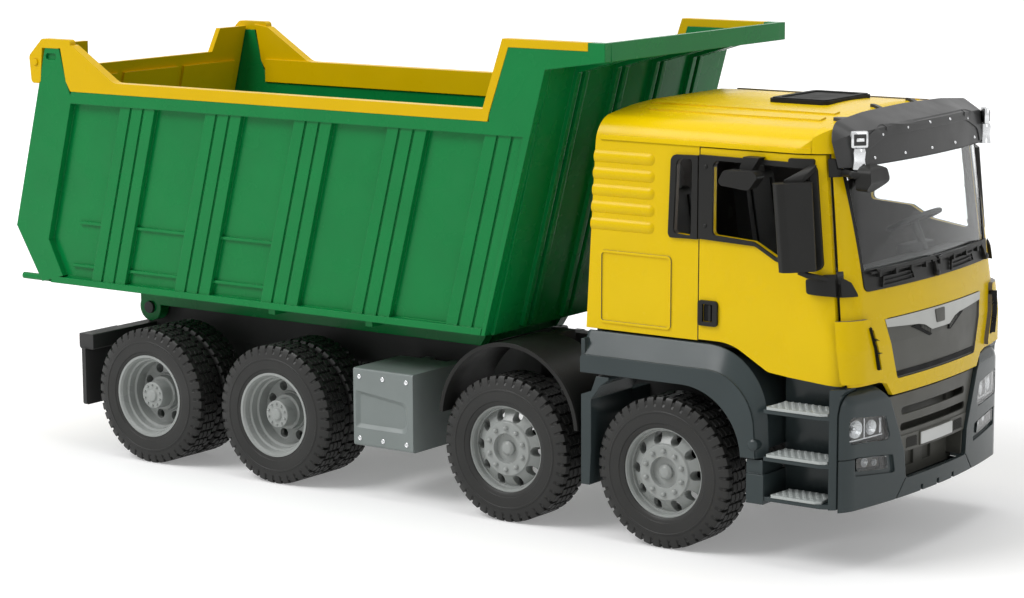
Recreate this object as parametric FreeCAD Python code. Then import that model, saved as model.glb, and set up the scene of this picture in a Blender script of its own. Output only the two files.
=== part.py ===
import FreeCAD, Part
import math
import os
from FreeCAD import Vector

# Toy tipper truck, about one sixteenth of full size, in millimetres.
# Lengths along the truck (x) are counted from the front axle while it is drawn, and
# save() then moves every piece so that x = 0 is the middle of the truck's length.
# y is to the driver's left, z is up from the floor.

os.makedirs("parts", exist_ok=True)

# ------------------------------------------------------------------ driving sizes
NOSE_X = 94.4            # front of the bumper and the cab, on the middle line
TAIL_X = -387.8          # knee of the tub's rear posts
MIDDLE_X = (NOSE_X + TAIL_X) / 2

# Wheels. Lengths marked "in" are counted from the rim lip towards the truck's middle.
AXLE_X = (0.0, -84.4, -219.4, -299.5)
TYRE_R = 33.5
TYRE_W = 20.0            # single front tyre
TWIN_TYRE_W = 17.6       # each tyre of a rear pair
TWIN_PITCH = 18.6
FRONT_LIP_Y = 75.0       # rim lips of the single wheels
REAR_LIP_Y = 77.4        # outer rim lips of the twin wheels
RIM_LIP_R = 20.4
RIM_SEAT_R = 19.8        # where tyre and rim meet
STUB_R = 3.0             # plain ends of the axles
STUB_GAP = 0.08          # running clearance round them
HUB_OUT, HUB_IN = 3.6, 9.0             # closed and open end of a single wheel's bore, in
TWIN_HUB_OUT, TWIN_HUB_IN = 6.0, 26.0  # the same for a pair
PIN_GAP = 0.08           # running clearance round every small pin

# Steering of the first axle
KINGPIN_Y = 62.0
KINGPIN_R = 1.6
FORK_Z0, FORK_Z1 = 6.4, 9.0            # fork arms, above and below the axle line
TIE_BACK = 12.0          # the tie rod runs this far behind the axle
TIE_Z = 27.4
TIE_PIN_R = 1.2
TIE_SLOT = 0.7           # the tie rod's eyes are slots this much longer than round

# Frame
RAIL_Y0, RAIL_Y1 = 21.0, 27.0
RAIL_Z0, RAIL_Z1 = 54.0, 69.8
RAIL_TAIL_X, RAIL_NOSE_X = -345.0, 80.0
PAD_Z = 41.2             # top of the spring pads on the axles
TOW_X, TOW_R, TOW_TOP_Z = -351.5, 2.4, 56.5
FLAP_FRONT_X = -36.8
GUARD_X, GUARD_Z = -82.0, 44.4         # centre of the second axle's mudguards
GUARD_LOW_Z = 47.0

# Tub
HINGE_X, HINGE_Z = -337.0, 68.5        # the tub tips about this line
HINGE_PIN_R = 3.0
HINGE_BOSS_R = 7.0
BOSS_Y0, BOSS_Y1 = 28.0, 34.2
REST_Z = RAIL_Z1 + 0.3                 # the bearers stop just clear of the rails
TUB_HALF_W = 76.5
TUB_WALL = 4.9           # from the outer face to the inner
TUB_FLOOR_Z = 84.4
TUB_SIDE_TOP = 175.6
RAIL_TOP = 187.0
TUB_FRONT_X, TUB_REAR_X = -94.8, -371.2
SLANT = 0.26             # uprights lean forward this much per mm of height
POST_FRONT_X, POST_REAR_X = -371.4, -394.9         # edges of the rear posts, carried down to the floor
POST_TOP_Z, KNEE_Z = 202.4, 111.8
FRONT_SLANT = 0.2626     # and so does the front wall
RIB_X = (-338.5, -283.3, -228.2, -173.0, -118.0)   # at the floor
RIB_W = 22.4
CANOPY_X, CANOPY_Z = -29.6, 218.7
GATE_PIN_X, GATE_PIN_Z = -370.8, 195.2
GATE_PIN_R = 1.6

# Ram under the tub
RAM_X, RAM_LOW_Z, RAM_TOP_Z = -260.0, 44.0, 79.0
RAM_PIN_R = 1.8
RAM_EYE_GAP = 1.7        # loose fit of the rod's eye on the tub's pin
RAM_EAR_Y = 8.2

# Nose: cab and bumper are bowed a little across their width
BOW_R = 370.0
BUMPER_CORNER_R = 15.0
BUMPER_TOP_R = 8.0
BUMPER_LOW_Z, BUMPER_TOP_Z = 26.7, 79.0
BUMPER_WALL = 2.2
PANEL_IN = 1.9           # the dark panel lies this far inside the bumper's face

# Cab
CAB_HALF_W = 71.0
CAB_WALL = 2.2
CAB_BACK_X, CAB_BACK_TOP_X = -45.3, -37.9          # rear wall, low down and at the roof
CAB_FLOOR_Z = 90.0
BEND_Z = 95.0            # the front stands upright up to here, then leans back
CAB_LEAN = 0.115         # this much per mm of height
CAB_CORNER_R = 13.0      # the front corners, up to the bend
CORNER_GROWTH = 0.13     # and how much rounder they get per mm above it
SIDE_LEAN = 0.0114       # the sides lean in above the bend
SIDE_TOP_Z = 176.6       # where sides and roof meet
SHOULDER_Z, CROWN_Z = 185.0, 193.6
CAB_PIVOT_X, CAB_PIVOT_Z = 87.3, 70.0
CAB_PIN_R = 2.0
V_Z = 72.6               # lower edge of the front, dipping between the corners
DOOR_REAR_X = 14.5
DOOR_FRONT_X, DOOR_LOW_Z = 84.6, 79.4  # lower front corner of a door
DOOR_PIN_R = 1.65
DOOR_PIN_IN = 2.8        # hinge line in from the cab's widest, at the door's foot
DOOR_PIN_LEAN = 0.04     # and how far it leans in per mm of height
DOOR_EDGE_R = DOOR_PIN_IN + 0.7        # room in the front for a door's turning edge
FOOT_R = DOOR_PIN_IN + 1.8             # round nose of the mirror's foot on that line
FOOT_ROOM_R = FOOT_R + 0.6
SEAM = 0.5               # gap round a door
HATCH_X0, HATCH_X1, HATCH_HALF_Y, HATCH_Z = 18.5, 48.0, 20.5, 193.3
FENDER_HALF_W = 77.0
STEP_REAR_X, STEP_FRONT_X = 51.0, 84.2
STEP_SEAM = 0.6          # gap between the steps and the bumper
STEP_Z = (68.0, 47.5, 30.2)            # tops of the ledges under the treads


# ------------------------------------------------------------------ drawing helpers
def profile(plane, points):
    """Closed face in a plane; a third number on a point is the radius of that corner."""
    put = {"xy": lambda p: Vector(p.x, p.y, 0),
           "xz": lambda p: Vector(p.x, 0, p.y),
           "yz": lambda p: Vector(0, p.x, p.y)}[plane]
    corners = []
    for i, point in enumerate(points):
        before, after = points[i - 1], points[(i + 1) % len(points)]
        here = Vector(point[0], point[1], 0)
        radius = point[2] if len(point) > 2 else 0
        if not radius:
            corners.append((here, here, here))
            continue
        to_before = (Vector(before[0], before[1], 0) - here).normalize()
        to_after = (Vector(after[0], after[1], 0) - here).normalize()
        half = to_before.getAngle(to_after) / 2
        reach = radius / math.tan(half)
        middle = (to_before + to_after).normalize()
        corners.append((here + to_before * reach,
                        here + middle * (radius / math.sin(half) - radius),
                        here + to_after * reach))
    edges = []
    for i, (start, mid, end) in enumerate(corners):
        if (start - end).Length > 1e-6:
            edges.append(Part.Arc(put(start), put(mid), put(end)).toShape())
        following = corners[(i + 1) % len(corners)][0]
        if (end - following).Length > 1e-6:
            edges.append(Part.makeLine(put(end), put(following)))
    return Part.Face(Part.Wire(edges))


def slab(plane, points, low, high):
    """A profile made solid between two positions along its plane's normal."""
    along = {"xy": Vector(0, 0, 1), "xz": Vector(0, 1, 0), "yz": Vector(1, 0, 0)}[plane]
    face = profile(plane, points)
    face.translate(along * low)
    return face.extrude(along * (high - low))


def box(x0, x1, y0, y1, z0, z1):
    return Part.makeBox(x1 - x0, y1 - y0, z1 - z0, Vector(x0, y0, z0))


def rod(axis, centre, radius, low, high):
    """Round bar along an axis; centre gives the two other coordinates in x, y, z order."""
    a, b = centre
    base, along = {"x": (Vector(low, a, b), Vector(1, 0, 0)),
                   "y": (Vector(a, low, b), Vector(0, 1, 0)),
                   "z": (Vector(a, b, low), Vector(0, 0, 1))}[axis]
    return Part.makeCylinder(radius, high - low, base, along)


def turned(points, x, z):
    """Solid of revolution about a cross axle; points are (distance along y, radius)."""
    solid = profile("yz", points).revolve(Vector(0, 0, 0), Vector(0, 1, 0), 360)
    solid.translate(Vector(x, 0, z))
    return solid


def fuse(*shapes):
    first, rest = shapes[0], list(shapes[1:])
    return first.multiFuse(rest).removeSplitter() if rest else first


def nose_prism(inset, half_w, corner_r, apex_x, back_x, low, high, top=None):
    """Block with a shallow bow across its front and a round corner at each side, shrunk by an
    inset. top = (half width, corner radius, apex) of the upper end, where it differs."""
    ends = []
    for z, (w, r, apex) in ((low, (half_w, corner_r, apex_x)), (high, top or (half_w, corner_r, apex_x))):
        bow_x = apex - BOW_R
        corner_y = w - r
        corner_x = bow_x + math.sqrt((BOW_R - r) ** 2 - corner_y ** 2)
        turn = math.atan2(corner_y, corner_x - bow_x)

        def on_bow(angle):
            return Vector(bow_x + (BOW_R - inset) * math.cos(angle), (BOW_R - inset) * math.sin(angle), z)

        def on_corner(angle, side):
            return Vector(corner_x + (r - inset) * math.cos(angle),
                          side * (corner_y + (r - inset) * math.sin(angle)), z)

        half, flank = (turn + math.pi / 2) / 2, math.pi / 2
        back_left, back_right = Vector(back_x, w - inset, z), Vector(back_x, inset - w, z)
        ends.append(Part.Wire([
            Part.makeLine(back_left, back_right), Part.makeLine(back_right, on_corner(flank, -1)),
            Part.Arc(on_corner(flank, -1), on_corner(half, -1), on_bow(-turn)).toShape(),
            Part.Arc(on_bow(-turn), on_bow(0), on_bow(turn)).toShape(),
            Part.Arc(on_bow(turn), on_corner(half, 1), on_corner(flank, 1)).toShape(),
            Part.makeLine(on_corner(flank, 1), back_left)]))
    if top is None:
        return Part.Face(ends[0]).extrude(Vector(0, 0, high - low))
    return Part.makeLoft(ends, True, True)


def mirrored(shape):
    return shape.mirror(Vector(0, 0, 0), Vector(0, 1, 0))


def both(shape):
    """A piece and its like on the other side of the truck."""
    return Part.makeCompound([shape, mirrored(shape)])


def spread(shape, count, centre, start=0.0, axis=Vector(0, 1, 0)):
    """Copies of a shape spaced evenly round an axis."""
    out = []
    for i in range(count):
        copy = shape.copy()
        copy.rotate(centre, axis, start + 360.0 * i / count)
        out.append(copy)
    return out


def save(node, *shapes):
    shape = Part.makeCompound([s.copy() for s in shapes]) if len(shapes) > 1 else shapes[0].copy()
    shape.translate(Vector(-MIDDLE_X, 0, 0))
    shape.exportStep("parts/%s.step" % node)


# ------------------------------------------------------------------ wheels
def tyre_section(width, start=0.0):
    """Section of one tyre: distance in from the rim lip, and radius."""
    a = start
    return [(a + 0.6, RIM_SEAT_R), (a + 0.6, 20.5), (a - 0.7, 25.5, 6), (a - 0.2, 30.6, 4),
            (a + 1.0, TYRE_R, 0.8), (a + width - 1.6, TYRE_R, 0.8),
            (a + width - 0.3, 30.6, 4), (a + width + 0.2, 25.5, 6),
            (a + width - 1.0, 20.6), (a + width - 1.2, RIM_SEAT_R)]


def dome_nut(radius, ring_r, low, high):
    """Round-headed nut on a ring of radius ring_r; low is its flat end, high where the dome starts."""
    stem = rod("y", (0, ring_r), radius, high, low)
    return stem.fuse(Part.makeSphere(radius, Vector(0, high, ring_r)))


def front_rim():
    """Single front rim: a cone with hand holes that bulges out to a bolt flange."""
    bore = STUB_R + STUB_GAP
    rim = turned([(0.0, 19.2), (0.0, RIM_LIP_R), (0.6, RIM_LIP_R), (0.6, RIM_SEAT_R),
                  (TYRE_W - 1.2, RIM_SEAT_R), (TYRE_W - 1.2, 18.4), (7.0, 18.4), (7.0, 13.4),
                  (HUB_IN, 6.4), (HUB_IN, bore), (HUB_OUT, bore), (HUB_OUT, 0.0), (0.2, 0.0),
                  (0.4, 2.2, 1), (1.6, 3.4, 0.4), (2.9, 3.4), (2.9, 6.6), (0.4, 7.0), (0.4, 12.2, 0.5),
                  (1.4, 12.9), (4.6, 17.8), (3.4, 17.9), (3.4, 18.6), (1.2, 18.7)], 0, 0)
    holes = []
    for r in (14.9, 15.9):                     # oval hand holes
        holes += spread(rod("y", (0, r), 2.15, -2, 14), 10, Vector(0, 0, 0), 18)
    nuts = spread(dome_nut(1.15, 9.6, 1.2, -0.1), 10, Vector(0, 0, 0))
    return fuse(rim.cut(fuse(*holes)), *nuts)


def rear_rim():
    """Twin rear rim: stepped dish far inside the lip, with the hub reaching back out."""
    bore = STUB_R + STUB_GAP
    far = TWIN_PITCH + TWIN_TYRE_W - 1.2
    rim = turned([(0.0, 19.2), (0.0, RIM_LIP_R), (0.6, RIM_LIP_R), (0.6, RIM_SEAT_R),
                  (far, RIM_SEAT_R), (far, 18.0), (16.4, 18.0), (16.4, 12.0),
                  (TWIN_HUB_IN, 6.4), (TWIN_HUB_IN, bore), (TWIN_HUB_OUT, bore), (TWIN_HUB_OUT, 0.0),
                  (1.4, 0.0), (1.6, 2.6, 0.6), (2.6, 3.2), (2.6, 6.6, 0.5),
                  (9.6, 6.9), (9.6, 8.4), (12.8, 8.7), (12.8, 9.4), (13.6, 9.6), (13.6, 15.4), (8.4, 15.9),
                  (8.0, 17.0), (4.6, 17.3), (4.2, 18.2), (1.2, 18.5)], 0, 0)
    holes = spread(rod("y", (0, 12.5), 2.35, 10, 20), 8, Vector(0, 0, 0), 22.5)
    nuts = spread(dome_nut(0.6, 5.1, 3.2, 2.3), 10, Vector(0, 0, 0))
    return fuse(rim.cut(Part.makeCompound(holes)), *nuts)


def place(shape, x, lip_y, side):
    """Stands a wheel piece on the floor at an axle, on side -1 (right) or +1 (left)."""
    out = shape.copy()
    out.translate(Vector(x, -lip_y, TYRE_R))
    return out if side < 0 else mirrored(out)


SIDES = {"right": -1, "left": 1}
FRONT_TYRE = turned(tyre_section(TYRE_W), 0, 0)
TWIN_TYRES = [turned(tyre_section(TWIN_TYRE_W, start), 0, 0) for start in (0.0, TWIN_PITCH)]
FRONT_RIM = front_rim()
REAR_RIM = rear_rim()
for number, axle_x in enumerate(AXLE_X, 1):
    for side_name, side in SIDES.items():
        if number <= 2:
            save("tyre_%d_%s" % (number, side_name), place(FRONT_TYRE, axle_x, FRONT_LIP_Y, side))
            save("rim_%d_%s" % (number, side_name), place(FRONT_RIM, axle_x, FRONT_LIP_Y, side))
        else:
            save("tyres_%d_%s" % (number, side_name),
                 *[place(t, axle_x, REAR_LIP_Y, side) for t in TWIN_TYRES])
            save("rim_%d_%s" % (number, side_name), place(REAR_RIM, axle_x, REAR_LIP_Y, side))


# ------------------------------------------------------------------ frame and axles
def frame():
    channel = [(RAIL_Y0, RAIL_Z0), (RAIL_Y1, RAIL_Z0), (RAIL_Y1, RAIL_Z1), (RAIL_Y0, RAIL_Z1),
               (RAIL_Y0, RAIL_Z1 - 1.8), (RAIL_Y1 - 1.8, RAIL_Z1 - 1.8),
               (RAIL_Y1 - 1.8, RAIL_Z0 + 1.8), (RAIL_Y0, RAIL_Z0 + 1.8)]
    rail = slab("yz", channel, RAIL_TAIL_X, RAIL_NOSE_X)
    # The tub's hinge pins stand out of the rails at the tail.
    tail = slab("xz", [(HINGE_X + 9, RAIL_Z0), (HINGE_X + 9, RAIL_Z1), (HINGE_X + 4, HINGE_Z + 4, 2),
                       (RAIL_TAIL_X, HINGE_Z + 4, 3), (RAIL_TAIL_X, RAIL_Z0)], RAIL_Y0, RAIL_Y1)
    tub_pin = rod("y", (HINGE_X, HINGE_Z), HINGE_PIN_R, RAIL_Y1 - 1, BOSS_Y1 + 1.4)
    # Leaf springs: one bow over each front axle, one rocking bow over the rear pair.
    springs = []
    for axle_x in AXLE_X[:2]:
        springs.append(slab("xz", [(axle_x - 38, 50.5), (axle_x - 30, 50.5), (axle_x - 6, PAD_Z),
                                   (axle_x + 6, PAD_Z), (axle_x + 30, 50.5), (axle_x + 38, 50.5),
                                   (axle_x + 38, RAIL_Z0 + 0.2), (axle_x + 27, RAIL_Z0 + 0.2),
                                   (axle_x + 6, PAD_Z + 3), (axle_x - 6, PAD_Z + 3),
                                   (axle_x - 27, RAIL_Z0 + 0.2), (axle_x - 38, RAIL_Z0 + 0.2)],
                            RAIL_Y0 + 1, RAIL_Y1 - 0.6))
    mid = (AXLE_X[2] + AXLE_X[3]) / 2
    springs.append(slab("xz", [(AXLE_X[3] - 6, PAD_Z), (AXLE_X[2] + 6, PAD_Z), (AXLE_X[2] + 6, PAD_Z + 6),
                               (mid + 33, RAIL_Z0 + 0.2), (mid - 33, RAIL_Z0 + 0.2),
                               (AXLE_X[3] - 6, PAD_Z + 6)], RAIL_Y0 + 1, RAIL_Y1 - 0.6))
    side = fuse(rail, tail, tub_pin, *springs)
    cross = []
    for x in (-328, -285, -234, -180, -120, -52, 62):
        cross.append(box(x - 3, x + 3, -RAIL_Y1 + 1.5, RAIL_Y1 - 1.5, RAIL_Z0 + 2.5, RAIL_Z1 - 2.5))
    # The ram hangs on two ears under the frame.
    ear = slab("xz", [(RAM_X - 6, 57), (RAM_X + 6, 57), (RAM_X + 4.2, 41, 2.5), (RAM_X - 4.2, 41, 2.5)],
               RAM_EAR_Y, RAM_EAR_Y + 2.2)
    bridge = box(RAM_X - 6, RAM_X + 6, RAM_EAR_Y, RAIL_Y1 - 1.5, 55.4, 58.4)
    trunnion = rod("y", (RAM_X, RAM_LOW_Z), RAM_PIN_R, RAM_EAR_Y - 2.4, RAM_EAR_Y + 1)
    hanger = fuse(ear, bridge, trunnion)
    return fuse(side, mirrored(side), *cross, hanger, mirrored(hanger))


FRAME = frame()
save("frame", FRAME)


def spring_pads(x):
    return [box(x - 6, x + 6, s * 24 - 3, s * 24 + 3, TYRE_R, PAD_Z) for s in (-1, 1)]


# The steered first axle ends in forks, each with its kingpin.
def front_axle():
    end = [box(-3.4, 3.4, 46.0, 49.5, TYRE_R - FORK_Z1, TYRE_R + FORK_Z1)]
    for s in (-1, 1):
        z0, z1 = sorted((TYRE_R + s * FORK_Z0, TYRE_R + s * FORK_Z1))
        arm = box(-3.4, 3.4, 49.0, KINGPIN_Y, z0, z1)
        end += [arm, rod("z", (0, KINGPIN_Y), 3.4, z0, z1)]
    end.append(rod("z", (0, KINGPIN_Y), KINGPIN_R, TYRE_R - FORK_Z0 - 1, TYRE_R + FORK_Z0 + 1))
    end = fuse(*end)
    return fuse(rod("y", (0, TYRE_R), 4.2, -47, 47), end, mirrored(end), *spring_pads(0))


def fixed_axle(x, beam_half, stub_half, pod):
    pieces = [rod("y", (x, TYRE_R), 4.6, -beam_half, beam_half),
              rod("y", (x, TYRE_R), STUB_R, -stub_half, stub_half)] + spring_pads(x)
    if pod:
        pieces.append(turned([(-11, 0), (-11, 5, 2), (-5, pod, 4), (5, pod, 4), (11, 5, 2), (11, 0)],
                             x, TYRE_R))
    return fuse(*pieces)


save("front_axle", front_axle())
save("second_axle", fixed_axle(AXLE_X[1], FRONT_LIP_Y - HUB_IN - 0.4, FRONT_LIP_Y - HUB_OUT - 0.4, 0))
save("rear_axles", *[fixed_axle(x, REAR_LIP_Y - TWIN_HUB_IN - 0.4, REAR_LIP_Y - TWIN_HUB_OUT - 0.4, 9.5)
                     for x in AXLE_X[2:]])


def knuckle():
    """Barrel on the kingpin with the wheel's stub and the arm back to the tie rod (left side)."""
    barrel = rod("z", (0, KINGPIN_Y), 3.2, TYRE_R - FORK_Z0 + 0.4, TYRE_R + FORK_Z0 - 0.4)
    stub = rod("y", (0, TYRE_R), STUB_R, KINGPIN_Y, FRONT_LIP_Y - HUB_OUT - 0.4)
    arm = box(-TIE_BACK, 0, KINGPIN_Y - 1.6, KINGPIN_Y + 1.6, TIE_Z + 1.2, TIE_Z + 3.4)
    tip = rod("z", (-TIE_BACK, KINGPIN_Y), 1.6, TIE_Z + 1.2, TIE_Z + 3.4)
    pin = rod("z", (-TIE_BACK, KINGPIN_Y), TIE_PIN_R, TIE_Z - 1.4, TIE_Z + 2)
    hole = rod("z", (0, KINGPIN_Y), KINGPIN_R + PIN_GAP, 0, 60)
    return fuse(barrel, stub, arm, tip, pin).cut(hole)


def tie_rod():
    """Cross bar under the axle; its eyes are slots, since the arms' ends swing in arcs."""
    bar = box(-TIE_BACK - 1.2, -TIE_BACK + 1.2, -KINGPIN_Y, KINGPIN_Y, TIE_Z - 0.8, TIE_Z + 0.8)
    eye = slab("xy", [(-TIE_BACK - 2.6, KINGPIN_Y - 2.6, 1.5), (-TIE_BACK + 3.2, KINGPIN_Y - 2.6, 1.5),
                      (-TIE_BACK + 3.2, KINGPIN_Y + 2.6, 1.5), (-TIE_BACK - 2.6, KINGPIN_Y + 2.6, 1.5)],
               TIE_Z - 0.8, TIE_Z + 0.8)
    r = TIE_PIN_R + PIN_GAP
    slot = fuse(rod("z", (-TIE_BACK, KINGPIN_Y), r, TIE_Z - 2, TIE_Z + 2),
                rod("z", (-TIE_BACK + TIE_SLOT, KINGPIN_Y), r, TIE_Z - 2, TIE_Z + 2),
                box(-TIE_BACK, -TIE_BACK + TIE_SLOT, KINGPIN_Y - r, KINGPIN_Y + r, TIE_Z - 2, TIE_Z + 2))
    return fuse(bar, eye, mirrored(eye)).cut(Part.makeCompound([slot, mirrored(slot)]))


save("knuckle_left", knuckle())
save("knuckle_right", mirrored(knuckle()))
save("tie_rod", tie_rod())

# ------------------------------------------------------------------ things on the frame
# Rear beam with the mud flaps, and the towing jaw with its upright hole.
beam = slab("xz", [(-348.5, 52, 0.8), (-339.5, 52, 0.8), (-339.5, 59.7, 0.8), (-348.5, 59.7, 0.8)], -74, 74)
flap = slab("yz", [(42, 23.7, 1.5), (75.6, 23.7, 1.5), (75.6, 52.4), (42, 52.4)], -346, -343.6)
jaw = slab("xy", [(-345, -9), (-345, 9), (TOW_X - 2, 9), (TOW_X - 6, 5, 2), (TOW_X - 6, -5, 2),
                  (TOW_X - 2, -9)], 48.5, TOW_TOP_Z)
tow_hole = rod("z", (TOW_X, 0), TOW_R, 40, 70)
save("rear_beam", fuse(beam, flap, mirrored(flap), jaw).cut(tow_hole).cut(FRAME))

# Engine and gearbox as one plain block between the rails.
save("engine_block", fuse(
    slab("yz", [(-17, 46, 3), (17, 46, 3), (17, 80, 5), (-17, 80, 5)], -26, 50),
    slab("yz", [(-11, 50, 3), (11, 50, 3), (11, 66, 3), (-11, 66, 3)], -47, -25),
    box(10, 20, -RAIL_Y1 + 1.8, RAIL_Y1 - 1.8, 58, 64)))


# Flaps behind the steered wheels, on arms from the rails.
def wheel_flap():
    blade = slab("xz", [(-42, 23.5), (-37.6, 23.5), (FLAP_FRONT_X, 40), (FLAP_FRONT_X, 62),
                        (-31.5, 69), (-27.6, 71.6), (-27.6, 72.8), (-34, 72.8), (-36.6, 66), (-42, 64)],
                 -FENDER_HALF_W + 0.3, -44)
    arm = box(-42, -38, -45, -RAIL_Y1, 55, 61)
    return fuse(blade, arm)


save("wheel_flaps", both(wheel_flap()))


# Mudguards over the second axle: a half hoop with a rolled edge on the outside.
def mudguard():
    def hoop(outer, inner, y0, y1):
        ring = rod("y", (GUARD_X, GUARD_Z), outer, y0, y1).cut(
            rod("y", (GUARD_X, GUARD_Z), inner, y0 - 1, y1 + 1))
        return ring.common(box(GUARD_X - 50, GUARD_X + 50, y0, y1, GUARD_LOW_Z, 90))
    bracket = box(GUARD_X - 3, GUARD_X + 3, -46, -RAIL_Y1, 62, GUARD_Z + 37.5)
    return fuse(hoop(38.0, 36.4, -76.2, -42), hoop(38.3, 36.4, -FENDER_HALF_W, -75.6), bracket)


save("mudguards", both(mudguard()))

# Tool box on the right, fuel tank on the left.
tool_box = slab("yz", [(-75, 24.5, 1.5), (-38, 24.5, 1.5), (-38, 61.5, 1), (-75, 61.5, 1)], -172, -137)
pressed_in = []
for y, edge in ((-75.01, 0.0), (-73.6, 1.8)):        # pressed panel with sloping walls
    wire = profile("xz", [(-170.8 + edge, 33.2 + edge, 1), (-140.2 - edge, 33.2 + edge, 3),
                          (-140.6 - edge, 47.6 - edge, 3), (-170.8 + edge, 51.0 - edge, 1)]).OuterWire
    wire.translate(Vector(0, y, 0))
    pressed_in.append(wire)
tool_box = tool_box.cut(Part.makeLoft(pressed_in, True, True))
save("tool_box", fuse(tool_box, box(-165, -160, -39, -RAIL_Y1, 55, 60),
                      box(-149, -144, -39, -RAIL_Y1, 55, 60)))
tank = slab("yz", [(40, 26, 7), (75, 26, 7), (75, 61, 7), (40, 61, 7)], -172, -132)
save("fuel_tank", fuse(tank, box(-165, -160, RAIL_Y1, 42, 50, 60), box(-144, -139, RAIL_Y1, 42, 50, 60)))


# ------------------------------------------------------------------ bumper and steps
def bumper_form(inset):
    """The bumper's outer form shrunk by an inset, with its top edge rounded."""
    block = nose_prism(inset, FENDER_HALF_W, BUMPER_CORNER_R, NOSE_X, 55, BUMPER_LOW_Z + inset,
                       BUMPER_TOP_Z - inset)
    rim = [e for e in block.Edges if e.BoundBox.ZMin > BUMPER_TOP_Z - inset - 0.01 and e.BoundBox.XMax > 56]
    return block.makeFillet(BUMPER_TOP_R - inset, rim)


# Outlines seen from the front (y, z), right side.
LAMPS = (([(-68.0, 55.6, 2), (-40.0, 53.6, 2), (-44.0, 64.4, 2), (-68.0, 67.0, 2)]),
         ([(-63.4, 43.4, 1), (-41.6, 41.2, 1), (-43.0, 46.8, 1), (-63.8, 48.9, 1)]))
FOG_SLOT = [(-64.6, 41.4, 1), (-36.4, 38.6, 1), (-38.2, 46.6, 1), (-43.0, 47.4), (-64.8, 49.6, 1)]
OPENING = [(-28, 34.4, 1.5), (28, 34.4, 1.5), (29.3, 46.5), (40.4, 70.6), (50.5, BUMPER_TOP_Z + 1),
           (-50.5, BUMPER_TOP_Z + 1), (-40.4, 70.6), (-29.3, 46.5)]
LIP_SEAM = [(-28.4, 34.8), (-27.6, 34.8), (-35.8, BUMPER_LOW_Z - 1), (-36.8, BUMPER_LOW_Z - 1)]

shell = bumper_form(0).cut(bumper_form(BUMPER_WALL)).cut(box(0, STEP_FRONT_X + STEP_SEAM, -90, 90, 0, 100))
# Behind each corner the seam to the steps bends forward at the top.
for y0, y1 in ((-90, -60), (60, 90)):
    shell = shell.cut(slab("xz", [(STEP_FRONT_X, 60), (STEP_FRONT_X + STEP_SEAM, 68, 12),
                                  (STEP_FRONT_X + 1.6, 76.6), (STEP_FRONT_X + 4.6, 81.5),
                                  (STEP_FRONT_X, 81.5)], y0, y1))
bumper = shell.cut(slab("yz", OPENING, 60, 100))
lamp_skin = bumper_form(0.25).cut(bumper_form(BUMPER_WALL))
pocket = bumper_form(1.2)
lamps = []
for outline in LAMPS:
    prism = slab("yz", outline, 60, 100)
    bumper = bumper.cut(prism).cut(mirrored(prism))
    lamps += [lamp_skin.common(prism), mirrored(lamp_skin.common(prism))]
dent = slab("yz", FOG_SLOT, 60, 100).cut(pocket)
seam = slab("yz", LIP_SEAM, 60, 100).cut(bumper_form(0.7))
level_seam = box(80, 100, -90, -64.4, 48.8, 49.3).cut(bumper_form(0.5))
cuts = [dent, seam, level_seam]
bumper = bumper.cut(fuse(*cuts)).cut(fuse(*[mirrored(c) for c in cuts]))
notches = [box(80, 100, y - 1.1, y + 1.1, BUMPER_LOW_Z - 1, BUMPER_LOW_Z + 2.6) for y in (-14.5, 0, 14.5)]
tray = box(76, 88, -36, 36, BUMPER_LOW_Z + BUMPER_WALL, BUMPER_LOW_Z + BUMPER_WALL + 2)
stays = [box(70, 78, s * 30 - 6, s * 30 + 6, BUMPER_LOW_Z + BUMPER_WALL, RAIL_Z0) for s in (-1, 1)]
save("bumper", fuse(bumper.cut(Part.makeCompound(notches)), tray, *stays))
save("front_lamps", *lamps)

# Dark panel just inside the bumper's opening: two long slots, a raised band for the plate, and
# under it a deep bay with two pull-through slots. Ears behind it carry the pins that the cab
# tilts about.
def in_opening(low, high, top_y, low_y):
    """Prism between two heights of the opening, wider at its top."""
    return slab("yz", [(-low_y, low), (low_y, low), (top_y, high), (-top_y, high)], 80, 100)


back = slab("yz", [(-31, 31.2), (31, 31.2), (32, 46), (42.6, 70), (-42.6, 70), (-32, 46)], 82, 84.2)
skin = bumper_form(PANEL_IN).cut(bumper_form(PANEL_IN + 0.9))
face = skin.common(fuse(in_opening(45.7, 70.0, 39.5, 28.6), in_opening(69.9, 71.3, 39.9, 39.4)))
band = bumper_form(PANEL_IN - 0.5).cut(bumper_form(PANEL_IN + 0.2)).common(in_opening(45.7, 53.0, 31.2, 28.6))
air_slots = [slab("yz", [(-a, z, 1.6), (a, z, 1.6), (a, z + 3.3, 1.6), (-a, z + 3.3, 1.6)], 85, 100)
             for a, z in ((29.3, 62.0), (30.0, 55.0))]
sill = box(84, 100, -28.4, 28.4, 45.7, 47.3).common(bumper_form(PANEL_IN))
walls = [slab("yz", [(s * 27.7, 34.8), (s * 26.6, 34.8), (s * 27.9, 46.6), (s * 38.0, 69.6), (s * 39.3, 69.6),
                     (s * 28.7, 46.4)], 84, 100).common(bumper_form(PANEL_IN)) for s in (-1, 1)]
tow_slots = [box(82.8, 90, s * 8 - 4, s * 8 + 4, 35.5, 43.5) for s in (-1, 1)]
LUG_Y0, LUG_Y1 = RAIL_Y1 + 0.5, RAIL_Y1 + 3.9      # the cab's lugs on those pins
LUG_R = 2.9
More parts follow.
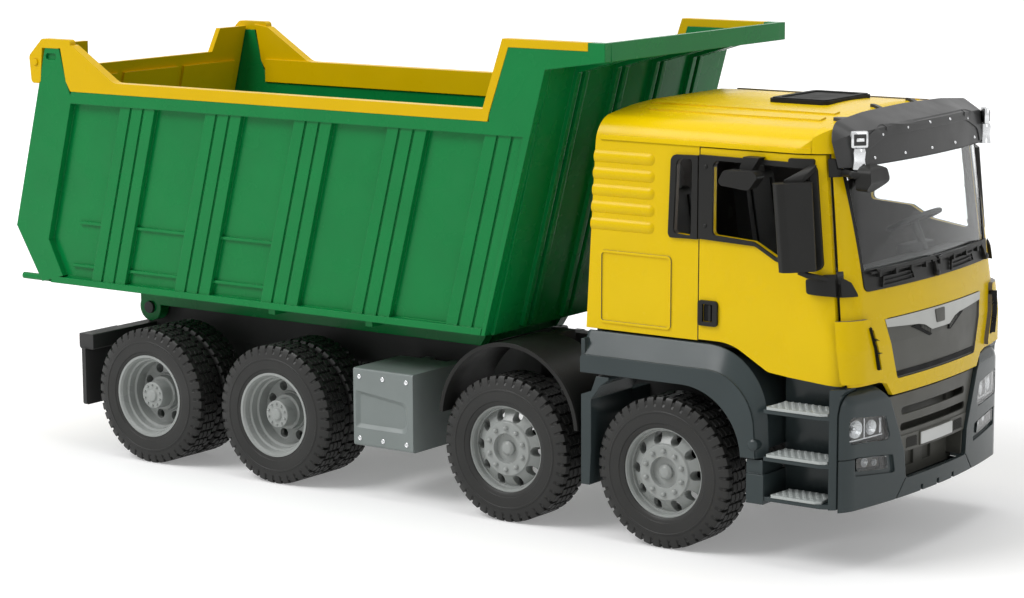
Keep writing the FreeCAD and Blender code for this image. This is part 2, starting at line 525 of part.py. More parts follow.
ear = slab("xz", [(84, 58), (86, 58), (CAB_PIVOT_X - LUG_R + 1, 65.8),
                  (CAB_PIVOT_X + LUG_R - 0.1, CAB_PIVOT_Z - LUG_R, 2),
                  (CAB_PIVOT_X + LUG_R - 0.1, V_Z - 0.7, 1.8), (CAB_PIVOT_X - LUG_R, V_Z - 0.7, 1), (84, 69)],
           RAIL_Y1 - 4, RAIL_Y1)
cab_pin = rod("y", (CAB_PIVOT_X, CAB_PIVOT_Z), CAB_PIN_R, RAIL_Y1 - 1, LUG_Y1 + 0.5)
lug_room = box(CAB_PIVOT_X - LUG_R - 0.8, CAB_PIVOT_X + LUG_R + 0.2, LUG_Y0 - 0.4, LUG_Y1 + 0.4,
               CAB_PIVOT_Z - LUG_R - 0.8, 80)
panel = fuse(back, face.cut(Part.makeCompound(air_slots)), band, sill, *walls)
panel = panel.cut(Part.makeCompound(tow_slots + [lug_room, mirrored(lug_room)]))
save("bumper_grille", fuse(panel, ear, mirrored(ear), cab_pin, mirrored(cab_pin)))


def step_box():
    """Wall behind the steps with three shelves on it, a post in front and a low box at the rear."""
    back = box(STEP_REAR_X, STEP_FRONT_X, -58, -48, 28, 79.2)
    post = slab("xz", [(STEP_FRONT_X - 2.6, 28), (STEP_FRONT_X, 28), (STEP_FRONT_X, 68, 12),
                       (STEP_FRONT_X + 1.0, 76.4), (STEP_FRONT_X + 2.8, 79.2), (STEP_FRONT_X - 2.6, 79.2)],
                -FENDER_HALF_W, -60.4)
    shelves = [box(STEP_REAR_X, STEP_FRONT_X - 2, -76.4, -57, z - 1.8, z) for z in STEP_Z]
    heel = box(43.0, STEP_REAR_X + 0.4, -FENDER_HALF_W, -58, BUMPER_LOW_Z, 39.4)
    stem = box(42.2, STEP_REAR_X - 0.9, -75.4, -58, 39, 45.4)
    stay = box(58, 70, -49, -RAIL_Y1, 56, 62)
    outline = nose_prism(0, FENDER_HALF_W, BUMPER_CORNER_R, NOSE_X, 0, 0, 100)
    return fuse(back, post, heel, stem, stay, *shelves).common(outline)


def tread(z):
    """Bright plate on a shelf, shorter on the lowest."""
    short = 2.4 if z == STEP_Z[2] else 0.0
    x0, x1, y = STEP_REAR_X + 1.1 + short, STEP_FRONT_X - 3.1 - short, -FENDER_HALF_W + 0.2
    return slab("xy", [(x0, y, 1), (x1 - 3, y, 1), (x1, y + 1.8, 1), (x1 - 1, -62, 1), (x0 + 1.2, -62, 1)],
                z, z + 1.2)


save("step_boxes", both(step_box()))
save("step_treads", *[t for z in STEP_Z for t in (tread(z), mirrored(tread(z)))])

# ------------------------------------------------------------------ tub
def lean(x_at_floor, z):
    """x of an upright of the tub at height z, from its x at the floor."""
    return x_at_floor + SLANT * (z - TUB_FLOOR_Z)


def leaning(x_low, width, z0, z1):
    """Parallelogram outline of an upright between two heights."""
    return [(lean(x_low, z0), z0), (lean(x_low + width, z0), z0),
            (lean(x_low + width, z1), z1), (lean(x_low, z1), z1)]


def front_wall_x(z):
    return TUB_FRONT_X + 2 + FRONT_SLANT * (z - 85.2)


POST = [(TUB_REAR_X, TUB_FLOOR_Z), (-356.7, 88.4), (lean(POST_FRONT_X, 106.3), 106.3),
        (lean(POST_FRONT_X, 178), 178), (-350.4, 186.2), (-354.6, POST_TOP_Z, 1),
        (lean(POST_REAR_X, POST_TOP_Z), POST_TOP_Z, 1), (TAIL_X, KNEE_Z)]
CORNER_X = RIB_X[-1] + RIB_W - 1.2     # rear edge of the front corner, at the floor
CHEEK = [(CORNER_X, TUB_FLOOR_Z), (TUB_FRONT_X, TUB_FLOOR_Z), (front_wall_x(205.9), 205.9),
         (CANOPY_X, 210.5), (CANOPY_X, CANOPY_Z), (-38.4, CANOPY_Z), (-38.4, 215), (-80.8, 215),
         (-91.6, 184), (-91.6, TUB_SIDE_TOP), (lean(CORNER_X, TUB_SIDE_TOP), TUB_SIDE_TOP)]


def tub_side():
    """Right side wall: a recessed sheet with slanting ribs, corner posts and a cheek in front."""
    inner, sheet, face = -TUB_HALF_W + TUB_WALL, -TUB_HALF_W + 3.5, -TUB_HALF_W
    wall = slab("xz", [(TUB_REAR_X + 4, TUB_FLOOR_Z), (TUB_FRONT_X, TUB_FLOOR_Z),
                       (front_wall_x(181.5), 181.5), (lean(POST_FRONT_X - 2, 181.5), 181.5),
                       (lean(POST_FRONT_X - 2, 106.3), 106.3)], sheet, inner)
    parts = [wall, slab("xz", POST, face, inner), slab("xz", CHEEK, face, inner)]
    parts.append(slab("xz", leaning(TUB_REAR_X + 6, 268, TUB_FLOOR_Z, 87.6), face, sheet + 1))
    parts.append(slab("xz", leaning(POST_FRONT_X - 1, 277, TUB_SIDE_TOP, 181.5), face, sheet + 1))
    for x in RIB_X:
        parts.append(slab("xz", leaning(x, RIB_W, 86, 176), face + 1.6, sheet + 1))
        for start, width in ((0.0, 6.4), (7.9, 6.6), (16.0, 6.4)):
            parts.append(slab("xz", leaning(x + start, width, 86, 176), face + 0.8, sheet + 1))
    for x0, x1 in zip((TUB_REAR_X + 14,) + RIB_X[:2], RIB_X[:3]):
        for z in (93.4, 115.2):
            parts.append(slab("xz", leaning(x0 + 3, x1 - x0 - 2, z, z + 1.5), face + 2.2, sheet + 1))
    parts.append(rod("x", (face + 3.0, 85.8), 1.7, -386.5, -368))
    catch = slab("xz", [(-363.7, 196.7, 1.4), (-356.6, 196.7, 1.4), (-356.6, 199.8, 1.4),
                        (-363.7, 199.8, 1.4)],
                 face - 1, face + 1.2)
    return fuse(*parts).cut(catch)


SIDE = tub_side()
save("tub_side_right", SIDE)
save("tub_side_left", mirrored(SIDE))

# Floor with its lengthways bearers and the hinge bosses, and the lug for the ram.
half_in = TUB_HALF_W - TUB_WALL
floor = box(TUB_REAR_X + 3.2, -97, -half_in, half_in, TUB_FLOOR_Z, TUB_FLOOR_Z + 3)
eye_room = box(RAM_X - 5.6, RAM_X + 5.6, -4.2, 4.2, TUB_FLOOR_Z - 1, TUB_FLOOR_Z + 0.7)   # over the ram's eye
bearer = slab("xz", [(HINGE_X + 5, REST_Z), (-128, REST_Z), (-118, TUB_FLOOR_Z + 1),
                     (HINGE_X - 6.5, TUB_FLOOR_Z + 1), (HINGE_X - 6.5, HINGE_Z + 3)], BOSS_Y0, BOSS_Y1)
boss = rod("y", (HINGE_X, HINGE_Z), HINGE_BOSS_R, BOSS_Y0, BOSS_Y1)
bore = rod("y", (HINGE_X, HINGE_Z), HINGE_PIN_R + PIN_GAP, BOSS_Y0 - 1, BOSS_Y1 + 1)
hinge_side = fuse(bearer, boss).cut(bore)
pads = [box(x - 5, x + 5, -BOSS_Y0 - 1, BOSS_Y0 + 1, REST_Z, TUB_FLOOR_Z + 1) for x in (-134, -196, -312)]
ribs_below = [box(x - 2, x + 2, -half_in, half_in, TUB_FLOOR_Z - 3.4, TUB_FLOOR_Z + 1) for x in (-165, -224)]
lug = slab("xz", [(RAM_X - 5, TUB_FLOOR_Z + 1), (RAM_X + 5, TUB_FLOOR_Z + 1), (RAM_X + 3.6, 75.4, 2),
                  (RAM_X - 3.6, 75.4, 2)], 4.2, 6.4)
ram_pin = rod("y", (RAM_X, RAM_TOP_Z), RAM_PIN_R, -5, 5)
save("tub_floor", fuse(floor.cut(eye_room), hinge_side, mirrored(hinge_side), lug, mirrored(lug), ram_pin,
                       *pads, *ribs_below))

# Front wall with upright ribs, and the canopy that reaches over the cab.
wall = slab("xz", [(TUB_FRONT_X - 1, TUB_FLOOR_Z), (TUB_FRONT_X + 1.8, TUB_FLOOR_Z),
                   (front_wall_x(206), 206), (CANOPY_X + 0.2, 210.5), (CANOPY_X, CANOPY_Z),
                   (CANOPY_X - 2.4, CANOPY_Z), (CANOPY_X - 2.6, 213.4), (front_wall_x(208.6) - 3, 208.9)],
            -half_in, half_in)
wall_ribs = []
for y in (-48, -16, 16, 48):
    for side_y in (y - 4.6, y + 1.6):
        wall_ribs.append(slab("xz", [(front_wall_x(86) - 1, 86), (front_wall_x(86) + 2.2, 86),
                                     (front_wall_x(203) + 2.2, 203), (CANOPY_X - 3, 210.9),
                                     (front_wall_x(203) - 1, 208)], side_y, side_y + 3))
save("tub_front", fuse(wall, *wall_ribs))


# Yellow rails on the side walls, the gussets at the rear and the edging of the cheeks.
def yellow_rail():
    face, inner = -TUB_HALF_W - 0.1, -TUB_HALF_W + TUB_WALL
    rail = slab("xz", [(-347.6, 181.5), (-92.4, 181.5), (-91.0, RAIL_TOP), (-318, RAIL_TOP, 8),
                       (-345.5, RAIL_TOP + 17.2, 2), (-355, RAIL_TOP + 18.4), (-353.6, POST_TOP_Z),
                       (-350.4, 186.2)], face, inner)
    edging = slab("xz", [(-95.4, RAIL_TOP - 1), (-91.2, RAIL_TOP - 1), (-80.8, 215), (-38.4, 215),
                         (-38.4, CANOPY_Z), (-84.0, CANOPY_Z)], face, inner)
    skirt = slab("xz", [(-347, RAIL_TOP - 12), (-76, RAIL_TOP - 12), (-74, RAIL_TOP - 3), (-96, RAIL_TOP),
                        (-347, RAIL_TOP)], inner - 0.4, inner + 0.9)
    return fuse(rail, edging, skirt)


def gate_bracket():
    """Bracket over a post's top that carries the tailgate's pin."""
    plate = slab("xz", [(-356, POST_TOP_Z), (-346.8, 203.6), (-347, 207, 2), (-366, 207, 3),
                        (GATE_PIN_X - 4.4, GATE_PIN_Z + 3, 3), (GATE_PIN_X - 3.2, GATE_PIN_Z - 10.6, 2),
                        (GATE_PIN_X + 3.0, GATE_PIN_Z - 10.6, 2), (GATE_PIN_X + 4.6, POST_TOP_Z)],
                 -TUB_HALF_W - 0.1, -TUB_HALF_W + 4.0)
    return plate.cut(rod("y", (GATE_PIN_X, GATE_PIN_Z), GATE_PIN_R + PIN_GAP, -90, -60))


YELLOW = fuse(yellow_rail(), gate_bracket()).cut(SIDE)
save("tub_rails", both(YELLOW))


# Tailgate: hangs between the posts from two pins, its foot bent in under the floor's end.
def gate_line(z, inset):
    return (lean(POST_REAR_X + inset, z), z)


GATE_HALF = TUB_HALF_W - TUB_WALL - 0.6
sheet = slab("xz", [gate_line(POST_TOP_Z + 2, 0.6), gate_line(POST_TOP_Z + 2, 3.6), gate_line(KNEE_Z, 4.0),
                    (-368.6, 88.6), (-368.6, 84.9), (TUB_REAR_X + 0.2, 84.9), (TAIL_X + 0.8, KNEE_Z)],
             -GATE_HALF, GATE_HALF)
dip = slab("yz", [(-52, POST_TOP_Z + 9), (-47, 192), (47, 192), (52, POST_TOP_Z + 9)], -400, -340)
gate = [sheet.cut(dip)]
for y0, y1 in ((-66, -25), (-20.5, 20.5), (25, 66)):
    gate.append(slab("xz", [gate_line(186, 3), gate_line(186, 5.2), gate_line(116, 5.2), gate_line(116, 3)],
                     y0, y1))
for y0, y1 in ((-GATE_HALF, -66.6), (66.6, GATE_HALF)):
    gate.append(slab("xz", [(GATE_PIN_X - 3.2, 184.5, 1), gate_line(180, 2), gate_line(201, 2),
                            (GATE_PIN_X - 3.2, GATE_PIN_Z + 3.2, 3)], y0, y1))
for s in (-1, 1):
    y0, y1 = sorted((s * (GATE_HALF - 1), s * (TUB_HALF_W + 0.8)))
    gate.append(rod("y", (GATE_PIN_X, GATE_PIN_Z), GATE_PIN_R, y0, y1))
save("tailgate", fuse(*gate))

# ------------------------------------------------------------------ ram
barrel = fuse(rod("z", (RAM_X, 0), 7.0, RAM_LOW_Z - 16, RAM_LOW_Z + 24),
              rod("y", (RAM_X, RAM_LOW_Z), 4.0, -RAM_EAR_Y + 0.3, RAM_EAR_Y - 0.3))
barrel = barrel.cut(rod("z", (RAM_X, 0), 5.4, RAM_LOW_Z - 14, RAM_LOW_Z + 30))
barrel = barrel.cut(rod("y", (RAM_X, RAM_LOW_Z), RAM_PIN_R + PIN_GAP, -20, -5.8))
barrel = barrel.cut(rod("y", (RAM_X, RAM_LOW_Z), RAM_PIN_R + PIN_GAP, 5.8, 20))
save("ram_barrel", barrel)
save("ram_middle", rod("z", (RAM_X, 0), 5.32, RAM_LOW_Z - 13.4, RAM_LOW_Z + 26.5).cut(
    rod("z", (RAM_X, 0), 3.4, RAM_LOW_Z - 12, RAM_LOW_Z + 40)))
eye = rod("y", (RAM_X, RAM_TOP_Z), 4.8, -3.9, 3.9)
save("ram_rod", fuse(rod("z", (RAM_X, 0), 3.32, RAM_LOW_Z - 11.4, RAM_TOP_Z - 1), eye).cut(
    rod("y", (RAM_X, RAM_TOP_Z), RAM_PIN_R + RAM_EYE_GAP, -10, 10)))


# ------------------------------------------------------------------ cab
def cab_form(inset):
    """The cab's outer form shrunk by an inset: plan, side view and front view together."""
    i = inset
    rise = 200 - BEND_Z
    foot = nose_prism(i, CAB_HALF_W, CAB_CORNER_R, NOSE_X, -60, 50, BEND_Z)
    upper = nose_prism(i, CAB_HALF_W, CAB_CORNER_R, NOSE_X, -60, BEND_Z, BEND_Z + rise,
                       top=(CAB_HALF_W - SIDE_LEAN * rise, CAB_CORNER_R + CORNER_GROWTH * rise,
                            NOSE_X - CAB_LEAN * rise))
    side = slab("xz", [(CAB_BACK_X + i, 50), (CAB_BACK_TOP_X + i, CROWN_Z - 2.7 - i, 5),
                       (10, CROWN_Z - 0.2 - i, 300),
                       (70, CROWN_Z - 1.4 - i, 14), (82.4 - i, 181.5 - i, 10), (86.5 - i, 172),
                       (NOSE_X + 6, 150), (NOSE_X + 6, 50)], -90, 90)
    w, top_w = CAB_HALF_W - i, CAB_HALF_W - SIDE_LEAN * (SHOULDER_Z - BEND_Z) - i
    cross = slab("yz", [(-w, 50), (-w, BEND_Z), (-top_w, SHOULDER_Z - 0.8 * i, 12),
                        (26 - top_w, 189.4 - i, 60),
                        (0, CROWN_Z - i, 300), (top_w - 26, 189.4 - i, 60), (top_w, SHOULDER_Z - 0.8 * i, 12),
                        (w, BEND_Z), (w, 50)], -70, 110)
    return fuse(foot, upper).common(side).common(cross)


def door_front(z, back=0.0):
    """x of the seam ahead of a door at height z."""
    return DOOR_FRONT_X - CAB_LEAN * (z - DOOR_LOW_Z) - back


SOLID = cab_form(0)
SHELL = SOLID.cut(cab_form(CAB_WALL))
RAISED = cab_form(-0.6).cut(cab_form(0.4))         # thin skin proud of the shell, for pressed forms
PROUD = cab_form(-1.2).cut(SOLID)
ABOVE = box(-60, 110, -90, 90, SIDE_TOP_Z, 230)
BELOW = box(-60, 110, -90, 90, 40, SIDE_TOP_Z)

# Lower edge of a door: over the fender's hump, then level to the front.
SILL = [(DOOR_REAR_X, 93.0), (31, 93.0, 24), (49.5, 82.4, 6), (60, 81.2)]


def door_outline(gap):
    """Door seen from the side, smaller than its opening by a gap."""
    low = [(x + (gap if n == 0 else 0),) + (z + gap,) + tuple(rest)
           for n, (x, z, *rest) in enumerate(SILL)]
    z0, z1 = DOOR_LOW_Z + gap, SIDE_TOP_Z - gap
    return low + [(door_front(z0, gap), z0), (door_front(z1, gap), z1),
                  (DOOR_REAR_X + gap, z1)]


def hinge_bar(radius, z0, z1, side):
    """Round bar along a door's hinge line, which leans back and in like the pillar."""
    foot = Vector(door_front(z0, SEAM + DOOR_PIN_R),
                  side * (CAB_HALF_W - DOOR_PIN_IN - DOOR_PIN_LEAN * (z0 - DOOR_LOW_Z)), z0)
    along = Vector(-CAB_LEAN, -side * DOOR_PIN_LEAN, 1)
    return Part.makeCylinder(radius, (z1 - z0) * along.Length, foot, along)


def side_area(outline, y0=-90, y1=90):
    return slab("xz", outline, y0, y1)


WINDOW = [(21.9, 139.3, 2), (42.5, 138.0, 4), (53.0, 132.4, 4), (door_front(129.4, 6.8), 129.4, 2),
          (door_front(170.6, 6.2), 170.6, 3), (21.9, 171.2, 3)]
WINDOW_FRAME = [(DOOR_REAR_X + SEAM, 137.2), (43.2, 136.2, 4), (53.4, 130.6, 4),
                (door_front(127.8, 3.4), 127.8, 3),
                (door_front(172.8, 3.5), 172.8, 4), (DOOR_REAR_X + SEAM, 173.2)]
QUARTER = [(2.2, 138.6, 2), (11.2, 138.0, 1.5), (11.6, 171.0, 1.5), (3.6, 170.8, 3)]
QUARTER_FRAME = [(-0.4, 138.0, 3), (0.6, 136.6), (DOOR_REAR_X - 0.1, 136.8), (DOOR_REAR_X - 0.1, 172.8),
                 (0.8, 172.4, 3)]
SCREEN_LOW, SCREEN_TOP = CAB_HALF_W - 14.4, CAB_HALF_W - 9.8       # half widths of the windscreen
SCREEN = [(-SCREEN_LOW, 118.6, 3), (SCREEN_LOW, 118.6, 3), (SCREEN_TOP, 173.2, 5), (-SCREEN_TOP, 173.2, 5)]

ahead = side_area([(door_front(40), 40), (110, 40), (110, 240), (door_front(240), 240)])
behind = side_area([(-60, 93), (DOOR_REAR_X, 93), (DOOR_REAR_X, 240), (-60, 240)])

# Roof: one pressing with a drip ridge along each side, long swages and a lip over the pillars.
roof = SHELL.common(ABOVE)
drip = RAISED.common(box(-36, 67.8, -90, 90, SIDE_TOP_Z, SIDE_TOP_Z + 2.2))
lip = RAISED.common(side_area([(68, SIDE_TOP_Z), (100, SIDE_TOP_Z), (100, 188), (68, 188, 2)]))
swages = [RAISED.common(box(x0, 62, y0, y0 + 4.5, 180, 200))
          for x0, y0 in ((-30, 34), (-30, -38.5), (-24, 46), (-24, -50.5))]
ROOF = fuse(roof, drip, lip, *swages)
save("cab_roof", ROOF)

body = SHELL.common(BELOW).common(behind).cut(side_area(QUARTER))

# Five half-round bars pressed out of each side, and a raised line round the flat panel below.
BAR_H, BAR_OUT, BAR_PITCH, BAR_TOP_Z = 5.2, 1.1, 7.4, 169.2
bar_r = (BAR_H ** 2 / 4 + BAR_OUT ** 2) / (2 * BAR_OUT)
bars = []
for n in range(5):
    z = BAR_TOP_Z - BAR_PITCH * n
    y = CAB_HALF_W - SIDE_LEAN * (z - BEND_Z) - bar_r + BAR_OUT
    for s in (-1, 1):
        bars += [rod("x", (s * y, z), bar_r, -50, -10.6), Part.makeSphere(bar_r, Vector(-10.6, s * y, z))]
before_rear = side_area([(CAB_BACK_X, 50), (CAB_BACK_TOP_X, CROWN_Z - 2.7), (0, CROWN_Z - 2.7), (0, 50)])
bars = fuse(*bars).cut(cab_form(0.5)).common(before_rear)
line = RAISED.common(side_area([(-36, 96, 2), (1, 96, 2), (1, 128.2, 2), (-36, 128.2, 2)]).cut(
    side_area([(-34.9, 97.1, 1.2), (-0.1, 97.1, 1.2), (-0.1, 127.1, 1.2), (-34.9, 127.1, 1.2)])))
save("cab_body", fuse(body, bars, line))
save("quarter_frames", PROUD.common(side_area(QUARTER_FRAME)).cut(side_area(QUARTER)))

# Front: pillars, the panel round the grille, and the corner blades with their air slots.
LOWER_EDGE = [(-90, 40), (90, 40), (90, DOOR_LOW_Z), (49, DOOR_LOW_Z), (43.8, 78.2), (39.2, V_Z),
              (-39.2, V_Z),
              (-43.8, 78.2), (-49, DOOR_LOW_Z), (-90, DOOR_LOW_Z)]
GRILLE = [(-35.9, 79.2, 2), (35.9, 79.2, 2), (44.4, 105.9, 2), (-44.4, 105.9, 2)]
front = SHELL.common(BELOW).common(ahead).cut(slab("yz", LOWER_EDGE, 40, 110))
front = front.cut(slab("yz", SCREEN, 66, 110)).cut(slab("yz", GRILLE, 66, 110))
blade = cab_form(-2.0).cut(cab_form(0.6)).common(ahead)
blade = blade.common(slab("yz", [(-90, DOOR_LOW_Z + 1.6), (-48.6, DOOR_LOW_Z + 1.6), (-48.6, 83.4, 2),
                                 (-57.0, 107.6, 2),
                                 (-90, 107.6)], 60, 110))
slot = slab("yz", [(-53.2, 85.4, 0.5), (-50.2, 85.4, 0.5), (-55.8, 104.4, 0.5), (-57.6, 104.4, 0.5)], 60, 110)
blade = blade.cut(slot.cut(cab_form(0.2)))
# Round rooms along the hinge lines for the doors' turning edges and for their mirrors' feet.
turning = [fuse(hinge_bar(DOOR_EDGE_R, 79, 178, s), hinge_bar(FOOT_ROOM_R, 117.2, 127.6, s)) for s in (-1, 1)]
FRONT = fuse(front, blade, mirrored(blade)).cut(Part.makeCompound(turning))
save("cab_front", FRONT)


# Doors with a round hinge edge along the pillar.
def door(side):
    room = sorted((side * 20, side * 90))
    panel = SHELL.common(side_area(door_outline(SEAM), *room))
    bar = hinge_bar(DOOR_PIN_R, 84, 170, side)
    return fuse(panel, bar).cut(side_area(WINDOW))


save("door_right", door(-1))
save("door_left", door(1))

# Windscreen, the cowl with the wipers' roots, the grille panel with its bright wing.
pane = cab_form(0.5).cut(cab_form(1.7)).common(slab("yz", SCREEN, 70, 110))
cowl_area = slab("yz", [(-SCREEN_LOW, 118.6, 3), (SCREEN_LOW, 118.6, 3), (SCREEN_LOW + 0.6, 127.4),
                        (-SCREEN_LOW - 0.6, 127.4)], 66, 110)
save("windscreen", pane)
wedge = side_area([(door_front(117.6), 117.6), (90.5, 117.6, 1.5), (88.0, 122.8, 2), (82, 126.6),
                   (door_front(126.8), 126.8)])
wedge = cab_form(-1.8).cut(SOLID).common(wedge).cut(Part.makeCompound(turning))
corner = slab("yz", [(-90, 112), (-62.3, 112), (-62.3, 118.6), (-64.4, 123.6, 2), (-70, 127.6), (-90, 127.6)],
              60, 110)
save("cowl", cab_form(-0.5).cut(cab_form(0.5)).common(cowl_area), wedge.common(corner),
     wedge.common(mirrored(corner)))
panel = cab_form(0.7).cut(cab_form(CAB_WALL)).common(slab("yz", GRILLE, 70, 110))
wing = slab("yz", [(-43.1, 102.2), (-19, 100.4), (-14, 99.4), (-8, 96.6), (8, 96.6), (14, 99.4), (19, 100.4),
                   (43.1, 102.2), (44.2, 105.6), (-44.2, 105.6)], 70, 110)
save("grille_panel", panel)
save("grille_wing", cab_form(-0.3).cut(cab_form(0.7)).common(wing).cut(FRONT))


# Sun visor standing off the roof's edge above the windscreen: a bowed plate whose rim bends back.
def visor_form(inset):
    i = inset
    plate = nose_prism(i, CAB_HALF_W - 3.5, 15, NOSE_X - CAB_LEAN * (165 - BEND_Z) + 3.0, 50, 165, 205,
                       top=(CAB_HALF_W - 3.5, 15, NOSE_X - CAB_LEAN * (205 - BEND_Z) + 3.0))
    ends = []
    for x, w, eave, crest in ((89.0, 63.0, 181.0, 184.8), (70.0, 67.6, 191.4, 193.2)):
        wire = profile("yz", [(i - w, 150), (i - w, eave - i, 11), (30 - w, crest - i, 180),
                              (0, crest + 0.6 - i, 500),
                              (w - 30, crest - i, 180), (w - i, eave - i, 11), (w - i, 150)]).OuterWire
        wire.translate(Vector(x, 0, 0))
        ends.append(wire)
    return plate.common(Part.makeLoft(ends, True, True))


visor = visor_form(0).cut(visor_form(1.5))
visor = visor.common(side_area([(78.6, 171), (110, 171), (110, 205), (70.2, 205)]))
feet = [box(70, 90, y - 1.5, y + 1.5, 176, 179).common(visor_form(0.8)).cut(SOLID) for y in (-46, 0, 46)]
clips = [PROUD.common(slab("xy", [(67, y - 0.6), (80, y - 3), (80, y + 3), (67, y + 0.6)], 184, 200))
         for y in (-48, -16, 16, 48)]
VISOR = fuse(visor.cut(SOLID), *feet, *clips).cut(ROOF).cut(FRONT)
save("sun_visor", VISOR)

# Roof hatch
hatch = slab("xy", [(HATCH_X0, -HATCH_HALF_Y, 3), (HATCH_X1, -HATCH_HALF_Y, 3), (HATCH_X1, HATCH_HALF_Y, 3),
                    (HATCH_X0, HATCH_HALF_Y, 3)], HATCH_Z - 4, HATCH_Z)
save("roof_hatch", hatch.cut(SOLID))


# Fenders: they bulge out under the cab's side and arch over the first wheels.
def fender_outline(top, nose, top_r, grow):
    return [(-42.4, 73.9), (-42.4, top, 2), (nose, top, top_r), (nose + grow, 46),
            (39.9, 46), (38.6, 74.2, 30)]


def fender():
    outer = profile("xz", fender_outline(82.0, 44.6, 24, 2.4))
    outer.translate(Vector(0, -FENDER_HALF_W + 1.0, 0))
    inner = profile("xz", fender_outline(92.2, 48.6, 30, 2.0))
    inner.translate(Vector(0, -CAB_HALF_W + 0.2, 0))
    slope = Part.makeLoft([outer.OuterWire, inner.OuterWire], True, True)
    face = slab("xz", fender_outline(82.0, 44.6, 24, 2.4), -FENDER_HALF_W, -FENDER_HALF_W + 1.0)
    ring = [(-42.4, 86.4), (-42.4, 88.8), (48.6, 88.8, 30), (50.4, 50), (48.2, 50), (46.6, 86.4, 28)]
    liner = slab("xz", ring, -CAB_HALF_W + 0.1, -44)
    back = slab("xz", [(-42.4, 74.5), (-40.4, 74.5), (-40.4, 88.8), (-42.4, 88.8)], -FENDER_HALF_W + 1, -44)
    hollow = slab("xz", [(-40.4, 60), (-40.4, 80.2), (43.0, 80.2, 23), (45.2, 40), (30, 40)],
                  -FENDER_HALF_W + 2.0, -CAB_HALF_W + 1)
    # Round-headed bolt low on its front end.
    bolt = turned([(-78.1, 0), (-77.9, 1.5, 0.8), (-77.2, 2.5), (-72, 2.5), (-72, 0)], 46.0, 51.9)
    return fuse(fuse(face, slope).cut(hollow), liner, back, bolt)


FENDER = fender()
save("cab_fenders", both(FENDER))

# Cab floor, bench, seats, dashboard and steering wheel (driver on the left). Two lugs under the
# floor's front edge take the pins that the cab tilts about.
INSIDE = cab_form(CAB_WALL + 0.3)
IN_Y = CAB_HALF_W - 7.0
floor = box(-41, 88, -IN_Y, IN_Y, CAB_FLOOR_Z, CAB_FLOOR_Z + 2.4)
mounts = box(-41.3, -38, -IN_Y - 2, IN_Y + 2, CAB_FLOOR_Z, CAB_FLOOR_Z + 7)
tunnel = slab("yz", [(-22, CAB_FLOOR_Z + 1), (22, CAB_FLOOR_Z + 1), (19, CAB_FLOOR_Z + 16, 4),
                     (-19, CAB_FLOOR_Z + 16, 4)], -38, 48)
dash = slab("xz", [(66, CAB_FLOOR_Z + 1), (66, 108), (60, 113), (62, 122.5, 3), (76, 124.5, 3), (88, 117.4),
                   (88, CAB_FLOOR_Z + 1)], -IN_Y, IN_Y)


def seat(y):
    z = CAB_FLOOR_Z + 16                       # underside of the cushion
    base = box(-12, 14, y - 9, y + 9, CAB_FLOOR_Z + 2, z)
    cushion = slab("xz", [(-16, z, 2), (20, z, 3), (20, z + 7, 3), (-12, z + 5, 2)], y - 14, y + 14)
    back = slab("xz", [(-20, z + 2, 2), (-12, z + 2, 2), (-19, z + 46, 3), (-26, z + 46, 3)], y - 13, y + 13)
    head = slab("xz", [(-27.5, z + 44, 2), (-20.5, z + 44, 2), (-22, z + 57, 2.5), (-28.5, z + 57, 2.5)],
                y - 8, y + 8)
    return fuse(base, cushion, back, head)


wheel_at = Vector(60, 38, 136)
wheel_axis = Vector(-0.42, 0, 0.91)
rim_ring = Part.makeTorus(12.2, 1.1, wheel_at, wheel_axis)
spokes = [Part.makeCylinder(3.4, 2.2, wheel_at - wheel_axis * 1.1, wheel_axis)]
for turn in (90, 210, 330):
    arm = Part.makeBox(12, 2.2, 1.4, Vector(0, -1.1, -0.7))
    arm.rotate(Vector(0, 0, 0), Vector(0, 0, 1), turn)
    arm.rotate(Vector(0, 0, 0), Vector(0, -1, 0), math.degrees(math.atan2(0.42, 0.91)))
    arm.translate(wheel_at)
    spokes.append(arm)
column = Part.makeCylinder(1.8, 24, wheel_at + wheel_axis * -24, wheel_axis)
low, high = CAB_PIVOT_Z - LUG_R, CAB_FLOOR_Z + 1
lug = slab("xz", [(CAB_PIVOT_X - LUG_R, high), (CAB_PIVOT_X - LUG_R, low, LUG_R - 0.05),
                  (CAB_PIVOT_X + LUG_R, low, LUG_R - 0.05), (CAB_PIVOT_X + LUG_R, CAB_PIVOT_Z + 1.2),
                  (CAB_PIVOT_X + 0.4, V_Z), (CAB_PIVOT_X + 0.4, high)], LUG_Y0, LUG_Y1)
lug = lug.cut(rod("y", (CAB_PIVOT_X, CAB_PIVOT_Z), CAB_PIN_R + PIN_GAP, -50, 50))
save("cab_interior", fuse(fuse(floor, mounts, tunnel, dash, seat(-36), seat(36)).common(INSIDE),
                          rim_ring, column, lug, mirrored(lug), *spokes))


# Trim on the doors: handle, window frame, mirror foot, mirror arms and housings, and on the right
# a kerb mirror over the window.
MIRROR_X, MIRROR_Y, MIRROR_Z0, MIRROR_Z1 = 68.0, -CAB_HALF_W - 10.0, 129.2, 165.8
MIRROR_YAW = -35.0


